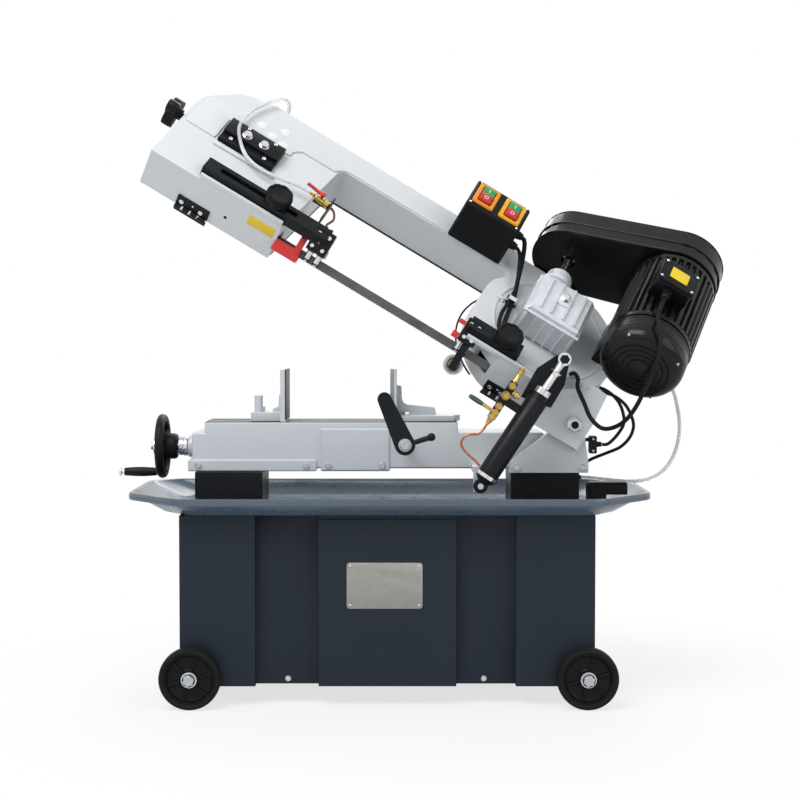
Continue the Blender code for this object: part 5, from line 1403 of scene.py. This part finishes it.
class BANDSAW_OT_hinges(bpy.types.Operator):
    """Build the hinge leaves, sleeves and screws of the rear cover"""
    bl_idname = "band_saw.hinges"
    bl_label = "Cover Hinges"

    def execute(self, context):
        build_cover_hinges()
        return {"FINISHED"}


class BANDSAW_OT_films(bpy.types.Operator):
    """Build the bare films where notices sit"""
    bl_idname = "band_saw.films"
    bl_label = "Plain Films"

    def execute(self, context):
        build_films()
        return {"FINISHED"}


class BANDSAW_OT_tension(bpy.types.Operator):
    """Build the tension bar, its screws and the hand knob"""
    bl_idname = "band_saw.tension"
    bl_label = "Tension Bracket"

    def execute(self, context):
        build_tension_bracket()
        return {"FINISHED"}


class BANDSAW_OT_guides(bpy.types.Operator):
    """Build the rollers, screws, locking knobs and the red blade guard"""
    bl_idname = "band_saw.guides"
    bl_label = "Blade Guides"

    def execute(self, context):
        build_blade_guides()
        return {"FINISHED"}


class BANDSAW_OT_band(bpy.types.Operator):
    """Build the saw band with its teeth"""
    bl_idname = "band_saw.band"
    bl_label = "Toothed Band"

    def execute(self, context):
        build_saw_band(context.scene.band_saw_sizes.teeth)
        return {"FINISHED"}


class BANDSAW_OT_brush(bpy.types.Operator):
    """Build the wire brush under the right guide"""
    bl_idname = "band_saw.brush"
    bl_label = "Chip Brush"

    def execute(self, context):
        build_chip_brush()
        return {"FINISHED"}


class BANDSAW_OT_tap(bpy.types.Operator):
    """Build the brass tap, its bracket and the line to the blade"""
    bl_idname = "band_saw.tap"
    bl_label = "Coolant Tap"

    def execute(self, context):
        build_coolant_tap()
        return {"FINISHED"}


class BANDSAW_OT_gear_case(bpy.types.Operator):
    """Build the fins, boss and bolts of the gear case"""
    bl_idname = "band_saw.gear_case"
    bl_label = "Gear Case"

    def execute(self, context):
        build_gearbox_details()
        return {"FINISHED"}


class BANDSAW_OT_motor(bpy.types.Operator):
    """Build the finned motor, its fan cover and terminal lid"""
    bl_idname = "band_saw.motor"
    bl_label = "Motor"

    def execute(self, context):
        build_motor(context.scene.band_saw_sizes.fins)
        return {"FINISHED"}


class BANDSAW_OT_belt_guard(bpy.types.Operator):
    """Build the rolled rims and lid screws of the belt guard"""
    bl_idname = "band_saw.belt_guard"
    bl_label = "Belt Guard"

    def execute(self, context):
        build_guard_details()
        return {"FINISHED"}


class BANDSAW_OT_switches(bpy.types.Operator):
    """Build both switch blocks and the glands of the control box"""
    bl_idname = "band_saw.switches"
    bl_label = "Switches"

    def execute(self, context):
        build_switches()
        return {"FINISHED"}


class BANDSAW_OT_cable_bundle(bpy.types.Operator):
    """Build the second cable and the clip on the bow"""
    bl_idname = "band_saw.cable_bundle"
    bl_label = "Cable Bundle"

    def execute(self, context):
        build_cable_bundle()
        return {"FINISHED"}


class BANDSAW_OT_feed(bpy.types.Operator):
    """Build the cylinder nuts, the valve train, the copper line and the lever"""
    bl_idname = "band_saw.feed"
    bl_label = "Hydraulic Feed"

    def execute(self, context):
        build_feed_details()
        return {"FINISHED"}


class BANDSAW_OT_rear_cover(bpy.types.Operator):
    """Build the turn locks and pressed ribs of the rear cover, and the black strip along its edge"""
    bl_idname = "band_saw.rear_cover"
    bl_label = "Rear Cover"

    def execute(self, context):
        build_rear_details()
        build_door_edge_strip()
        return {"FINISHED"}


class BANDSAW_OT_castings(bpy.types.Operator):
    """Round the edges of every CAD node that keeps its shape"""
    bl_idname = "band_saw.castings"
    bl_label = "Castings and Sheet"

    def execute(self, context):
        stood_for = {node for made in bpy.data.objects for node in made.get("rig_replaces", ())}
        build_softened(stood_for)
        return {"FINISHED"}


OPERATORS = (
    BANDSAW_OT_finishes, BANDSAW_OT_stage, BANDSAW_OT_cords, BANDSAW_OT_transport_wheels,
    BANDSAW_OT_cabinet, BANDSAW_OT_tray, BANDSAW_OT_bed, BANDSAW_OT_handwheel, BANDSAW_OT_work_stop,
    BANDSAW_OT_pivot, BANDSAW_OT_bow, BANDSAW_OT_hinges, BANDSAW_OT_films, BANDSAW_OT_tension,
    BANDSAW_OT_guides, BANDSAW_OT_band, BANDSAW_OT_brush, BANDSAW_OT_tap, BANDSAW_OT_gear_case,
    BANDSAW_OT_motor, BANDSAW_OT_belt_guard, BANDSAW_OT_switches, BANDSAW_OT_cable_bundle,
    BANDSAW_OT_feed, BANDSAW_OT_rear_cover, BANDSAW_OT_castings,
)


class BANDSAW_PT_build(bpy.types.Panel):
    """Settings and the operators that build each group of pieces"""
    bl_idname = "BANDSAW_PT_build"
    bl_label = "Band Saw"
    bl_space_type = "VIEW_3D"
    bl_region_type = "UI"
    bl_category = "Band Saw"

    def draw(self, context):
        for group in (context.scene.band_saw_colours, context.scene.band_saw_sizes):
            for name in group.__annotations__:
                self.layout.prop(group, name)
        for kind in OPERATORS:
            self.layout.operator(kind.bl_idname)


CLASSES = (BandSawColours, BandSawSizes, *OPERATORS, BANDSAW_PT_build)


def register():
    for kind in CLASSES:
        bpy.utils.register_class(kind)
    bpy.types.Scene.band_saw_colours = PointerProperty(type=BandSawColours)
    bpy.types.Scene.band_saw_sizes = PointerProperty(type=BandSawSizes)


def unregister():
    del bpy.types.Scene.band_saw_sizes
    del bpy.types.Scene.band_saw_colours
    for kind in reversed(CLASSES):
        bpy.utils.unregister_class(kind)


def main():
    register()
    bpy.ops.band_saw.finishes()
    bpy.ops.band_saw.stage()
    bpy.ops.band_saw.cords()
    bpy.ops.band_saw.transport_wheels()
    bpy.ops.band_saw.cabinet()
    bpy.ops.band_saw.tray()
    bpy.ops.band_saw.bed()
    bpy.ops.band_saw.handwheel()
    bpy.ops.band_saw.work_stop()
    bpy.ops.band_saw.pivot()
    bpy.ops.band_saw.bow()
    bpy.ops.band_saw.hinges()
    bpy.ops.band_saw.films()
    bpy.ops.band_saw.tension()
    bpy.ops.band_saw.guides()
    bpy.ops.band_saw.band()
    bpy.ops.band_saw.brush()
    bpy.ops.band_saw.tap()
    bpy.ops.band_saw.gear_case()
    bpy.ops.band_saw.motor()
    bpy.ops.band_saw.belt_guard()
    bpy.ops.band_saw.switches()
    bpy.ops.band_saw.cable_bundle()
    bpy.ops.band_saw.feed()
    bpy.ops.band_saw.rear_cover()
    bpy.ops.band_saw.castings()


if __name__ == "__main__":
    main()
